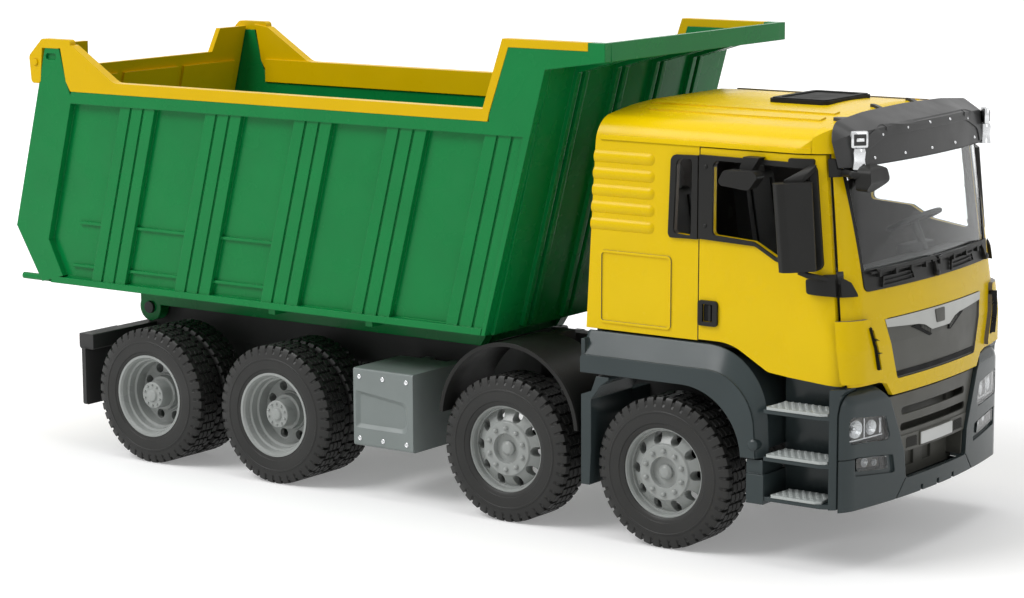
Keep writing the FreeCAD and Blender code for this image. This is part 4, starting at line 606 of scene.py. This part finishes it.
# %% Lamp bowls
def bowl(mesh, centre, along, radius):
    turned(mesh, [(0.0, radius), (0.25, radius), (0.2, radius * 0.92), (-1.3, radius * 0.5), (-1.7, radius * 0.25),
                  (-0.2, radius * 0.22), (0.1, radius * 0.12), (0.15, 0)], centre, along, 20)


lamp_low, lamp_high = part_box("front_lamps")
for side, hand in ((-1, "right"), (1, "left")):
    mesh = bmesh.new()
    for y, z, radius in ((61.5, 60.8, 3.9), (51.2, 60.2, 3.3), (55.4, 45.6, 2.0), (48.6, 44.6, 1.4)):
        hit, normal, _ = land(["front_lamps"], "front", side * y, z)
        bowl(mesh, hit - normal * 0.0032, (1, side * 0.25, 0), radius)
    for y0, y1, z0, z1 in ((43.6, 66.0, 56.0, 56.6), (44.4, 46.0, 57.0, 63.6), (56.0, 56.8, 56.6, 65.0)):
        laid(mesh, ["front_lamps"], "front", oblong(side * y0, z0, side * y1, z1, 0), -3.0, -2.4, cell=3)
    piece(f"lamp_bowls_{hand}", mesh, lamp_chrome, "chassis")
    mesh = bmesh.new()
    for outline in ([(67.6, 56.2), (41.0, 54.2), (44.4, 64.0), (67.6, 66.4)],
                    [(63.2, 43.8), (42.0, 41.8), (43.2, 46.4), (63.6, 48.4)]):
        laid(mesh, ["front_lamps"], "front", [(side * u, v, 0.5) for u, v in outline], -5.4, -5.0, cell=4)
    piece(f"lamp_backs_{hand}", mesh, grille_grey, "chassis")
print("lamp glass height in mm:", round((lamp_high.z - lamp_low.z) * 1000, 1))

# %% [markdown]
# ## Number plate, left blank
# The plate is a white plastic strip with a grey rim, clipped to the raised band in the bumper's
# opening. It stays bare. Two patches of fine mesh flank it; a mesh this small reads as a grid of
# tiny raised dots, which is cheaper and cleaner than holes. The dots are black as painted shade for the holes.

# %% Plate and mesh patches
plate_at = ["bumper_grille"]
laid_piece("plate_rim", plate_at, "front", [oblong(-15.2, 46.4, 15.2, 52.7, 0.8)], 0.0, 0.5, grille_grey, "chassis",
           "silver_plastic")
laid_piece("plate_face", plate_at, "front", [oblong(-14.6, 46.9, 14.6, 52.2, 0.5)], 0.45, 0.75, plate_white,
           "chassis", "silver_plastic")
# Black dots: painted shade for the holes of the mesh.
mesh = bmesh.new()
dots = 0
for side in (-1, 1):
    for i in range(9):
        for k in range(4):
            u, v = side * (17.6 + i * 1.0), 47.4 + k * 1.15 + (0.5 if i % 2 else 0)
            laid(mesh, plate_at, "front", oblong(u - 0.3, v - 0.32, u + 0.3, v + 0.32, 0), 0.0, 0.35)
            dots += 1
piece("plate_mesh_shade", mesh, satin_black, "chassis")
print("mesh dots:", dots)

# %% [markdown]
# ## Step treads
# The treads are silver inserts with rows of raised lozenges, five deep and offset like bricks.
# They catch the light from the side, so they need real height; a bump map would stay grey. Each
# lozenge is a low pyramid with its tip cut off, which takes six faces.

# %% Tread pads
low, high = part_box("step_treads")
mesh = bmesh.new()
pads = 0
for side in (-1, 1):
    for top in (69.2, 48.7, 31.4):
        short = 2.4 if top < 35 else 0.0
        for row in range(5):
            y = 64.0 + row * 2.6
            for k in range(8):
                x = 54.6 + short + k * 3.3 + (1.6 if row % 2 else 0)
                if x > 79.2 - short - (2.2 if row == 4 else 0):
                    continue
                middle = spot(x, side * y, top)
                tips = [(-1.25, 0), (0, -0.95), (1.25, 0), (0, 0.95)]
                foot = [mesh.verts.new(middle + Vector((a, b, -0.2)) / 1000) for a, b in tips]
                peak = [mesh.verts.new(middle + Vector((a * 0.5, b * 0.5, 0.6)) / 1000) for a, b in tips]
                for n in range(4):
                    m = (n + 1) % 4
                    mesh.faces.new((foot[n], foot[m], peak[m], peak[n]))
                mesh.faces.new(peak)
                mesh.faces.new(foot[::-1])
                pads += 1
piece("tread_pads", mesh, tread_silver, "chassis")
print("pads:", pads, "tread tops span", round((high.z - low.z) * 1000, 1))

# %% [markdown]
# ## Screws of the tool box and straps of the tank
# The tool box's lid is held by six screws with dished heads. On the other side the tank hangs in
# two black straps and has a round cap on top. All of them are small, but they are what the eye
# looks for on a plain silver block. A strap is a chain of short blocks that follows the tank's
# section, and each joint between two blocks points away from the tank's middle.

# %% Tool box screws
mesh = bmesh.new()
for x in (-168.4, -154.6, -140.8):
    for z in (57.6, 28.2):
        hit, normal, _ = land(["tool_box"], "right", x, z)
        turned(mesh, [(-0.1, 1.15), (0.25, 1.15), (0.4, 0.95), (0.12, 0.75), (-0.05, 0)], hit, normal, 14)
piece("tool_box_screws", mesh, bright_chrome, "chassis")
box_low, box_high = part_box("tool_box")
print("tool box is", [round(v * 1000, 1) for v in box_high - box_low])

# %% Tank straps and cap
TANK_MIDDLE = (57.5, 43.5)
TANK_SECTION = [(75, 33), (75, 54), (72.9, 58.9), (68, 61), (47, 61), (42.1, 58.9), (40, 54), (40, 33),
                (42.1, 28.1), (47, 26), (68, 26), (72.9, 28.1)]
STRAP_HALF_WIDE, STRAP_HALF_THICK = 2, 0.7
mesh = bmesh.new()
for x in (-163.0, -141.0):
    for one, two in zip(TANK_SECTION, TANK_SECTION[1:] + TANK_SECTION[:1]):
        corners = []
        for y, z in (one, two):
            out = Vector((y - TANK_MIDDLE[0], z - TANK_MIDDLE[1])).normalized() * STRAP_HALF_THICK
            for end, way in ((-1, -1), (1, -1), (1, 1), (-1, 1)):
                corners.append((x + end * STRAP_HALF_WIDE, y + way * out.x, z + way * out.y))
        block(mesh, corners, 0)
piece("tank_straps", mesh, frame_black, "chassis")
mesh = bmesh.new()
turned(mesh, [(-1, 4.2), (1.0, 4.2), (1.6, 3.9), (1.8, 3.0), (1.8, 1.2), (2.6, 1.0), (2.6, 0)],
       spot(-152, 66, 60.6), (0, 0, 1))
piece("tank_cap", mesh, frame_black, "chassis")
print("strap goes round", len(TANK_SECTION), "corners")

# %% [markdown]
# ## Ribs of the tailgate
# A tailgate this wide would bend, so it has a raised frame and two uprights pressed into its rear
# face. A frame is one outline with a hole in it, laid on the gate's skin, so it needs no corner
# joints. It swings with the gate because it rides on the same body.

# %% Tailgate frame
RIB_HEIGHT, RIB_ROOT = 0.9, -0.2
gate = ["tailgate"]
mesh = bmesh.new()
laid(mesh, gate, "rear", oblong(-65, 118, 65, 186, 2), RIB_ROOT, RIB_HEIGHT,
     hole=oblong(-59.5, 123, 59.5, 181, 1.5))
for middle in (-20, 20):
    laid(mesh, gate, "rear", oblong(middle - 2.6, 122.6, middle + 2.6, 181.4, 0), RIB_ROOT, RIB_HEIGHT - 0.05)
piece("tailgate_ribs", mesh, rail_yellow, "tailgate")
print("ribs stand", RIB_HEIGHT, "mm proud of the gate")

# %% [markdown]
# ## Rear lamps
# Under the tub's tail the beam carries a lamp block on each side: red, amber and a clear part in
# one dark housing. They are laid on the beam's rear face.

# %% Rear lamp blocks
for side, hand in ((-1, "right"), (1, "left")):
    laid_piece(f"rear_lamp_housing_{hand}", ["rear_beam"], "rear", [oblong(side * 46, 52.6, side * 73, 59.2, 0)],
               0.0, 1.4, satin_black, "chassis", "black_plastic")
    for name, y0, y1, finish in (("red", 62.5, 72, lamp_red), ("amber", 54.5, 61.5, lamp_amber),
                                 ("clear", 47, 53.5, plate_white)):
        laid_piece(f"rear_lamp_{name}_{hand}", ["rear_beam"], "rear", [oblong(side * y0, 53.4, side * y1, 58.4, 0)],
                   1.3, 2.4, finish, "chassis", "lamp_clear")

# %% [markdown]
# ## Visor details
# The sun visor is a bowed black plate. A raised rim follows its edge and leaves a shallow panel in
# the middle, and two rows of rivets run across it. The rim is laid on as a thin strip with the
# panel cut out of it, and the rivets are low domes that stand square on the bow.

# %% Visor rim and rivets
visor = ["sun_visor"]
mesh = bmesh.new()
edge_line = [(-60, 171.2), (60, 171.2), (58, 180.5, 6), (40, 187.0, 20), (-40, 187.0, 20), (-58, 180.5, 6)]
panel_line = [(-52, 170.6), (52, 170.6), (50.5, 177.5, 5), (37, 182.6, 14), (-37, 182.6, 14), (-50.5, 177.5, 5)]
laid(mesh, visor, "front", edge_line, -0.2, 0.45, hole=panel_line)
piece("visor_rim", mesh, visor_black, "cab")
upper = [(y, 184.9 - abs(y) ** 2 * 0.0012) for y in (-39, -19.5, 0, 19.5, 39)] + [(-56.4, 177.6), (56.4, 177.6)]
lower = [(y, 174.0) for y in (-46, -23, 0, 23, 46)]
domes("visor_rivets", visor, "front", upper + lower, 0.75, 0.6, bright_chrome, "cab")
print("rivets:", len(upper + lower))

# %% [markdown]
# ## Marker lamps
# At each end of the visor stands a chromed stem that carries a small square lamp. The lamp is a
# turned stem, a soft-edged block for the housing, and a dark glass with one bright bar in front.
# Housing, glass and bar look the same way, so one helper gives the corners of all three.

# %% Marker lamps
def housing(middle, across, face, half, tall, back, front):
    """Corners of a square housing round a middle point, between two depths along its face."""
    own = [middle + across * a * half / 1000 + Vector((0, 0, h * tall / 1000)) + face * d / 1000
           for d in (back, front) for a, h in ((-1, -1), (1, -1), (1, 1), (-1, 1))]
    return [((p.x - axle_x) * 1000, p.y * 1000, p.z * 1000) for p in own]


for side, hand in ((-1, "right"), (1, "left")):
    mesh = bmesh.new()
    hit, normal, _ = land(visor, "front", side * 57.5, 172.6)
    foot = hit + normal * 0.0006
    head = foot + Vector((0.0002, side * 0.0002, 0.0088))
    turned(mesh, [(0, 3.3), (1.2, 3.1), (4.0, 2.7), (7.0, 3.0), (8.6, 2.6), (8.8, 0)],
           foot - Vector((0, 0, 0.0022)), head - foot, 18)
    face = Vector((0.75, side * 0.66, 0))
    across = Vector((-face.y, face.x, 0)).normalized()
    stand = (head + Vector((0, 0, 0.0012)), across, face)
    block(mesh, housing(*stand, 3.9, 3.6, -1.2, 1.4), 0.9)
    piece(f"marker_stem_{hand}", mesh, bright_chrome, "cab")
    mesh = bmesh.new()
    block(mesh, housing(*stand, 2.7, 2.4, 1.2, 1.8), 0.25)
    piece(f"marker_glass_{hand}", mesh, visor_black, "cab")
    mesh = bmesh.new()
    block(mesh, housing(*stand, 1.7, 0.7, 1.75, 2.1), 0.2)
    piece(f"marker_bar_{hand}", mesh, bright_chrome, "cab")
print("marker lamps at z", round(head.z * 1000, 1))

# %% [markdown]
# ## Windscreen seal, cowl vents and wipers
# A dark rubber seal frames the screen. Under it the black cowl has two louvred vents and the
# pivots of the wipers, which are parked along the lower edge of the glass. Everything here lies on
# one bowed skin, so each form is an outline laid at its own height: the blade highest, the arm
# below it, the vent's frame lowest.

# %% Windscreen seal
glass = ["windscreen", "cowl", "cab_front"]
seal_out = [(-56.2, 119.2, 3), (56.2, 119.2, 3), (61.0, 172.8, 5), (-61.0, 172.8, 5)]
seal_in = [(-54.8, 121.0, 3), (54.8, 121.0, 3), (59.4, 171.6, 4), (-59.4, 171.6, 4)]
laid_piece("screen_seal", ["windscreen"], "front", [seal_out], 0.0, 0.35, satin_black, "cab", "black_plastic",
           hole=seal_in)
screen_low, screen_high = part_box("windscreen")
print("screen is", round((screen_high.y - screen_low.y) * 1000, 1), "mm wide")

# %% Cowl vents
VENT_HALF_WIDE = 12.5
mesh = bmesh.new()
vents = (-33.5, 24.0)
for middle in vents:
    left, right = middle - VENT_HALF_WIDE, middle + VENT_HALF_WIDE
    laid(mesh, glass, "front", [(left, 119.6), (right, 120.2), (right - 1.5, 124.6), (left + 1, 124.0)], 0.4, 1.3,
         hole=[(left + 0.9, 120.4), (right - 0.9, 120.9), (right - 2.2, 123.9), (left + 1.7, 123.2)])
    slat = [(left + 0.7, 121.6), (right - 1.5, 122.2), (right - 1.5, 122.7), (left + 0.7, 122.1)]
    laid(mesh, glass, "front", slat, 0.4, 1.0)
piece("cowl_vents", mesh, satin_black, "cab")
print("vents:", len(vents))

# %% Wipers
PARKED_Z = 125.6


def edge(u):
    """Height of a parked blade's lower edge, which rises a little towards the screen's sides."""
    return PARKED_Z + 0.006 * abs(u)


mesh = bmesh.new()
for start, end, pivot in ((-54.0, -8.5, -3.5), (-6.5, 44.0, 47.0)):
    blade = [(start, edge(start)), (end, edge(end)), (end, edge(end) + 0.9), (start, edge(start) + 0.9)]
    laid(mesh, glass, "front", blade, 0.5, 2.0)
    for at in (0.12, 0.38, 0.64, 0.9):
        u = start + (end - start) * at
        laid(mesh, glass, "front", [(u - 0.7, edge(u) - 1.6), (u + 0.7, edge(u) - 1.6), (u + 0.7, edge(u) + 1.3),
                                    (u - 0.7, edge(u) + 1.3)], 0.5, 2.6)
    arm = [(start + 4, edge(start) + 0.7), (pivot - 1, 126.6), (pivot - 1, 127.9), (start + 4, edge(start) + 1.7)]
    laid(mesh, glass, "front", arm, 1.9, 2.8)
    low = pivot + (1.5 if pivot < 10 else 4.5)
    shank = [(low - 1.1, 119.8), (low + 1.1, 119.8), (pivot + 1.1, 127.8), (pivot - 1.3, 127.8)]
    laid(mesh, glass, "front", shank, 0.4, 1.9)
    hit, normal, _ = land(glass, "front", low, 120.4)
    turned(mesh, [(0, 1.7), (1.7, 1.6), (2.2, 1.0), (2.3, 0)], hit, normal, 16)
piece("wipers", mesh, satin_black, "cab")
print("wipers parked at z", PARKED_Z)

# %% [markdown]
# ## Grille
# The bright wing crosses the top of the dark grille panel. Its middle is left as a bare, slightly
# domed shield, and below it two small meshed gaps follow the wing's dip. A gap runs along the
# panel's foot. Black sheets in these gaps are painted shade. The corner blades of the cab have a
# slot each, with two little cross webs, and a black sheet in each slot is painted shade.

# %% Shield, gaps and mesh
front = ["grille_wing", "grille_panel", "cab_front"]
shield = [(-3.6, 98.8, 0.8), (3.6, 98.8, 0.8), (4.4, 104.6, 0.6), (-4.4, 104.6, 0.6)]
laid_piece("wing_shield", front, "front", [shield], -0.1, 0.24, grille_grey, "cab", "grille_grey", cell=1.5)
gap = [(19.5, 100.2), (14.5, 99.0), (8.2, 95.9), (7.6, 94.4), (9.4, 94.0), (17.6, 97.4), (24.0, 99.9)]
# Black sheets: painted shade in the meshed gaps and in the gap at the panel's foot.
mesh = bmesh.new()
for side in (-1, 1):
    laid(mesh, ["grille_panel"], "front", [(side * u, v) for u, v in gap], 0.0, 0.5, cell=3)
laid(mesh, ["grille_panel"], "front", [(-35.4, 80.0), (35.4, 80.0), (36.2, 82.2), (-36.2, 82.2)], 0.0, 0.35)
piece("grille_gap_shade", mesh, shade_black, "cab")
mesh = bmesh.new()
for side in (-1, 1):
    for k in range(7):
        u, v = side * (9.0 + k * 1.2), 94.9 + k * 0.52
        bar = [(u - 0.25, v), (u + 0.25, v), (u + 0.25, v + 2.2), (u - 0.25, v + 2.2)]
        laid(mesh, ["grille_panel"], "front", bar, 0.45, 0.8)
piece("grille_mesh", mesh, grille_grey, "cab")
print("grille dressed")

# %% Slots of the corner blades
slot = [(53.8, 85.8), (50.4, 85.8), (56.0, 104.0), (58.4, 104.0)]
# A black sheet in each slot: painted shade.
mesh = bmesh.new()
for side in (-1, 1):
    laid(mesh, ["cab_front"], "front", [(side * u, v) for u, v in slot], -0.1, 1.5, cell=2)
piece("blade_slot_shade", mesh, shade_black, "cab")
mesh = bmesh.new()
for side in (-1, 1):
    for v in (92.2, 98.2):
        u = 52.0 + (v - 85.8) * 0.27
        inner, outer = side * (u - 1.4), side * (u + 1.2)
        web = [(inner, v), (outer, v), (outer, v + 0.8), (inner, v + 0.8)]
        laid(mesh, ["cab_front"], "front", web, 0.2, 1.8, cell=2)
piece("blade_webs", mesh, satin_black, "cab")
print("slots dressed")

# %% [markdown]
# ## Mirror glass
# The main mirrors look backwards. From behind the truck their glass is the brightest thing on the
# cab, so each black housing gets two thin chromed panes, a large one above a smaller one.

# %% Mirror panes
def pane_point(side, depth, across, z):
    """Point on a housing's back: it is turned by 35 degrees and leans back as it rises."""
    turn = math.radians(35)
    x = depth - 3.2 * (z - 129.2) / 36.6
    return (69.6 + x * math.cos(turn) + across * math.sin(turn),
            -side * (-81.0 - x * math.sin(turn) + across * math.cos(turn)), z)


for side, hand in ((-1, "right"), (1, "left")):
    mesh = bmesh.new()
    for z0, z1 in ((131.6, 146.4), (147.6, 163.2)):
        corners = [(-3.25, -5.6, z0), (-3.25, 5.4, z0), (-3.25, 5.0, z1), (-3.25, -6.4, z1)]
        front_face = [pane_point(side, *c) for c in corners]
        back_face = [pane_point(side, c[0] - 0.35, c[1], c[2]) for c in corners]
        block(mesh, front_face + back_face, 0.12)
    piece(f"mirror_pane_{hand}", mesh, mirror_glass, f"door_{hand}")

# %% [markdown]
# ## Door furniture
# Each door's handle is a black frame round a scoop with an upright bar in it. The scoop is a flat
# sheet of a deeper black: the black of the handle with painted shade for its depth. The dark strip ahead
# of the quarter window carries the heads of two small pins.

# %% Handle scoops and frame pins
for side, hand, look in ((-1, "right", "right"), (1, "left", "left")):
    # The scoop's deeper black is painted shade for its depth.
    laid_piece(f"handle_scoop_shade_{hand}", [f"door_{hand}"], look, [oblong(17.6, 101.8, 22.2, 109.0, 0.6)], -0.1, 0.15,
               shade_black, f"door_{hand}", "black_plastic")
    laid_piece(f"handle_bar_{hand}", [f"door_{hand}"], look, [oblong(20.4, 101.9, 21.6, 108.9, 0.3)], 0.1, 1.0,
               satin_black, f"door_{hand}", "black_plastic", cell=2)
    domes(f"frame_pins_{hand}", [f"door_trim_{hand}"], look, [(18.4, 143.0), (18.4, 168.4)], 0.9, 0.5, satin_black,
          f"door_{hand}")
print("doors dressed")

# %% [markdown]
# ## Inside the cab
# Through the big screen the dashboard shows: an instrument hood in front of the wheel, a row of
# vents and a dark shelf. The seats have a stitched-looking crease moulded in, drawn as thin strips
# whose dark colour is painted shade in the crease. These are blocks with soft edges, and they ride with the cab.

# %% Dashboard and seat creases
mesh = bmesh.new()
brick(mesh, 58.5, 66.0, 24, 48, 121.5, 126.5, 1.2)
brick(mesh, 60.0, 64.0, -46, -22, 119.0, 123.6, 0.8)
brick(mesh, 60.0, 63.0, -12, 12, 108.0, 121.0, 0.8)
for y in (-54, -8, 8, 54):
    brick(mesh, 60.2, 62.6, y - 3.4, y + 3.4, 116.2, 119.6, 0.5)
piece("dashboard_forms", mesh, frame_black, "cab")
# Thin dark strips: painted shade in the seats' creases.
mesh = bmesh.new()
for y in (-36, 36):
    for k in (-1, 1):
        block(mesh, [(x + dx, y + k * dy, z) for x, z in ((-12.4, 112), (-18.6, 149))
                     for dx, dy in ((0, 8.6), (1.2, 8.6), (1.2, 9.4), (0, 9.4))], 0.2)
piece("seat_crease_shade", mesh, frame_black, "cab")
print("cab inside dressed")

# %% [markdown]
# ## Roof hatch
# The hatch is a black lid whose edge stands a little above its middle. That edge is one more
# outline with a hole in it, this time laid on from above, so the shallow pan needs no carving.

# %% Hatch pan
laid_piece("hatch_rim", ["roof_hatch"], "top", [oblong(19.4, -19.6, 47.1, 19.6, 2.4)], -0.1, 0.5, hatch_black,
           "cab", "black_plastic", hole=oblong(22.2, -16.6, 44.3, 16.6, 1.8), cell=8)
print("hatch dressed")

# %% [markdown]
# ## Camera
# The truck is seen from its right front corner, a little above its roof line, through a long
# lens that keeps the wheels round. The camera stands back along that direction; a slight shift
# places the truck in the frame without turning the camera.

# %% Camera
azimuth, elevation, roll = math.radians(35.318), math.radians(9.563), math.radians(-0.229)
level = math.cos(elevation)
back = Vector((math.sin(azimuth) * level, -math.cos(azimuth) * level, math.sin(elevation)))
right = Vector((math.cos(azimuth), math.sin(azimuth), 0))
up = back.cross(right)
right, up = right * math.cos(roll) + up * math.sin(roll), up * math.cos(roll) - right * math.sin(roll)
view = bpy.data.objects.new("view", bpy.data.cameras.new("view"))
bpy.context.scene.collection.objects.link(view)
turn = Matrix((right, up, back)).transposed().to_4x4()
view.matrix_world = Matrix.Translation(spot(655.943, -1101.761, 316.537)) @ turn
view.data.sensor_width, view.data.lens = 36, 100.886
view.data.shift_x, view.data.shift_y = -0.015917, -0.0025186
view.data.clip_start, view.data.clip_end = 0.05, 50
bpy.context.scene.camera = view
print("camera", [round(v, 3) for v in view.location], "lens", round(view.data.lens, 1))

# %% [markdown]
# ## Floor and light
# A toy on a white sweep: one large soft lamp above and to the left of the camera, another straight
# above, a weak fill ahead of the cab and an even pale surround. The levels keep a colour at about
# the value it is written with. The background is white because camera rays see it so, not because
# more light falls on the truck; reflections and clear plastic see the same white. Near the truck
# the floor's own glow is weaker, so that the truck's shadow shows.

# %% Floor
# Distance from the middle in metres and the glow there.
GLOW_NEAR, GLOW_FAR = (0.25, 0.24), (1.3, 0.75)
low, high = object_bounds()
mesh = bmesh.new()
half = 6.0
rim = [mesh.verts.new((x, y, -0.0002)) for x, y in ((-half, -half), (half, -half), (half, half), (-half, half))]
mesh.faces.new(rim)
data = bpy.data.meshes.new("floor")
mesh.to_mesh(data)
mesh.free()
floor = bpy.data.objects.new("floor", data)
bpy.context.scene.collection.objects.link(floor)
pale, nodes, links, surface = shader("pale_floor")
place = nodes.new("ShaderNodeTexCoord")
cloud = noise(nodes, links, place, 3)
fac = spread_to(nodes, links, cloud.outputs["Fac"], 0, 1)
links.new(tinted(nodes, links, fac, (0.80, 0.80, 0.80), (0.82, 0.82, 0.82)), surface.inputs["Base Color"])
surface.inputs["Roughness"].default_value = 0.6
surface.inputs["Specular IOR Level"].default_value = 0.1
path = nodes.new("ShaderNodeLightPath")
glow = nodes.new("ShaderNodeMath")
glow.operation = "MAXIMUM"
links.new(path.outputs["Is Camera Ray"], glow.inputs[0])
links.new(path.outputs["Is Transmission Ray"], glow.inputs[1])
both = nodes.new("ShaderNodeMath")
both.operation = "MAXIMUM"
links.new(glow.outputs["Value"], both.inputs[0])
links.new(path.outputs["Is Glossy Ray"], both.inputs[1])
away = nodes.new("ShaderNodeVectorMath")
away.operation = "LENGTH"
links.new(place.outputs["Object"], away.inputs[0])
ring = nodes.new("ShaderNodeMapRange")
ring.inputs["From Min"].default_value, ring.inputs["From Max"].default_value = GLOW_NEAR[0], GLOW_FAR[0]
ring.inputs["To Min"].default_value, ring.inputs["To Max"].default_value = GLOW_NEAR[1], GLOW_FAR[1]
links.new(away.outputs["Value"], ring.inputs["Value"])
level = nodes.new("ShaderNodeMath")
level.operation = "MULTIPLY"
links.new(ring.outputs["Result"], level.inputs[1])
links.new(both.outputs["Value"], level.inputs[0])
surface.inputs["Emission Color"].default_value = (1, 1, 1, 1)
links.new(level.outputs["Value"], surface.inputs["Emission Strength"])
data.materials.append(pale)
print("floor under", round(low.z * 1000, 2), "mm")


# %% Lamps and surround
def soft_lamp(name, at, size, watts):
    lamp = bpy.data.lights.new(name, "AREA")
    lamp.shape = "RECTANGLE"
    lamp.size, lamp.size_y = size
    lamp.energy = watts
    held = bpy.data.objects.new(name, lamp)
    held.location = at
    held.rotation_euler = (Vector(at) - Vector((0, 0, 0.1))).to_track_quat("Z", "Y").to_euler()
    bpy.context.scene.collection.objects.link(held)


soft_lamp("key", (-0.9, -1.3, 1.7), (1.3, 1.0), 32)
soft_lamp("front_fill", (1.9, -0.5, 0.9), (0.9, 1.2), 4)
soft_lamp("top", (0.0, 0.1, 2.2), (1.8, 1.2), 20)
AMBIENT, WHITE = 0.36, 1.0
surround = bpy.data.worlds.new("surround")
bpy.context.scene.world = surround
surround.use_nodes = True
nodes, links = surround.node_tree.nodes, surround.node_tree.links
plain = nodes["Background"]
plain.inputs["Color"].default_value = (1, 1, 1, 1)
path = nodes.new("ShaderNodeLightPath")
seen = nodes.new("ShaderNodeMath")
seen.operation = "MAXIMUM"
links.new(path.outputs["Is Camera Ray"], seen.inputs[0])
links.new(path.outputs["Is Transmission Ray"], seen.inputs[1])
mirrored = nodes.new("ShaderNodeMath")
mirrored.operation = "MAXIMUM"
links.new(seen.outputs["Value"], mirrored.inputs[0])
links.new(path.outputs["Is Glossy Ray"], mirrored.inputs[1])
strength = nodes.new("ShaderNodeMapRange")
strength.inputs["To Min"].default_value, strength.inputs["To Max"].default_value = AMBIENT, WHITE
links.new(mirrored.outputs["Value"], strength.inputs["Value"])
links.new(strength.outputs["Result"], plain.inputs["Strength"])
bpy.context.scene.view_settings.view_transform = "Standard"
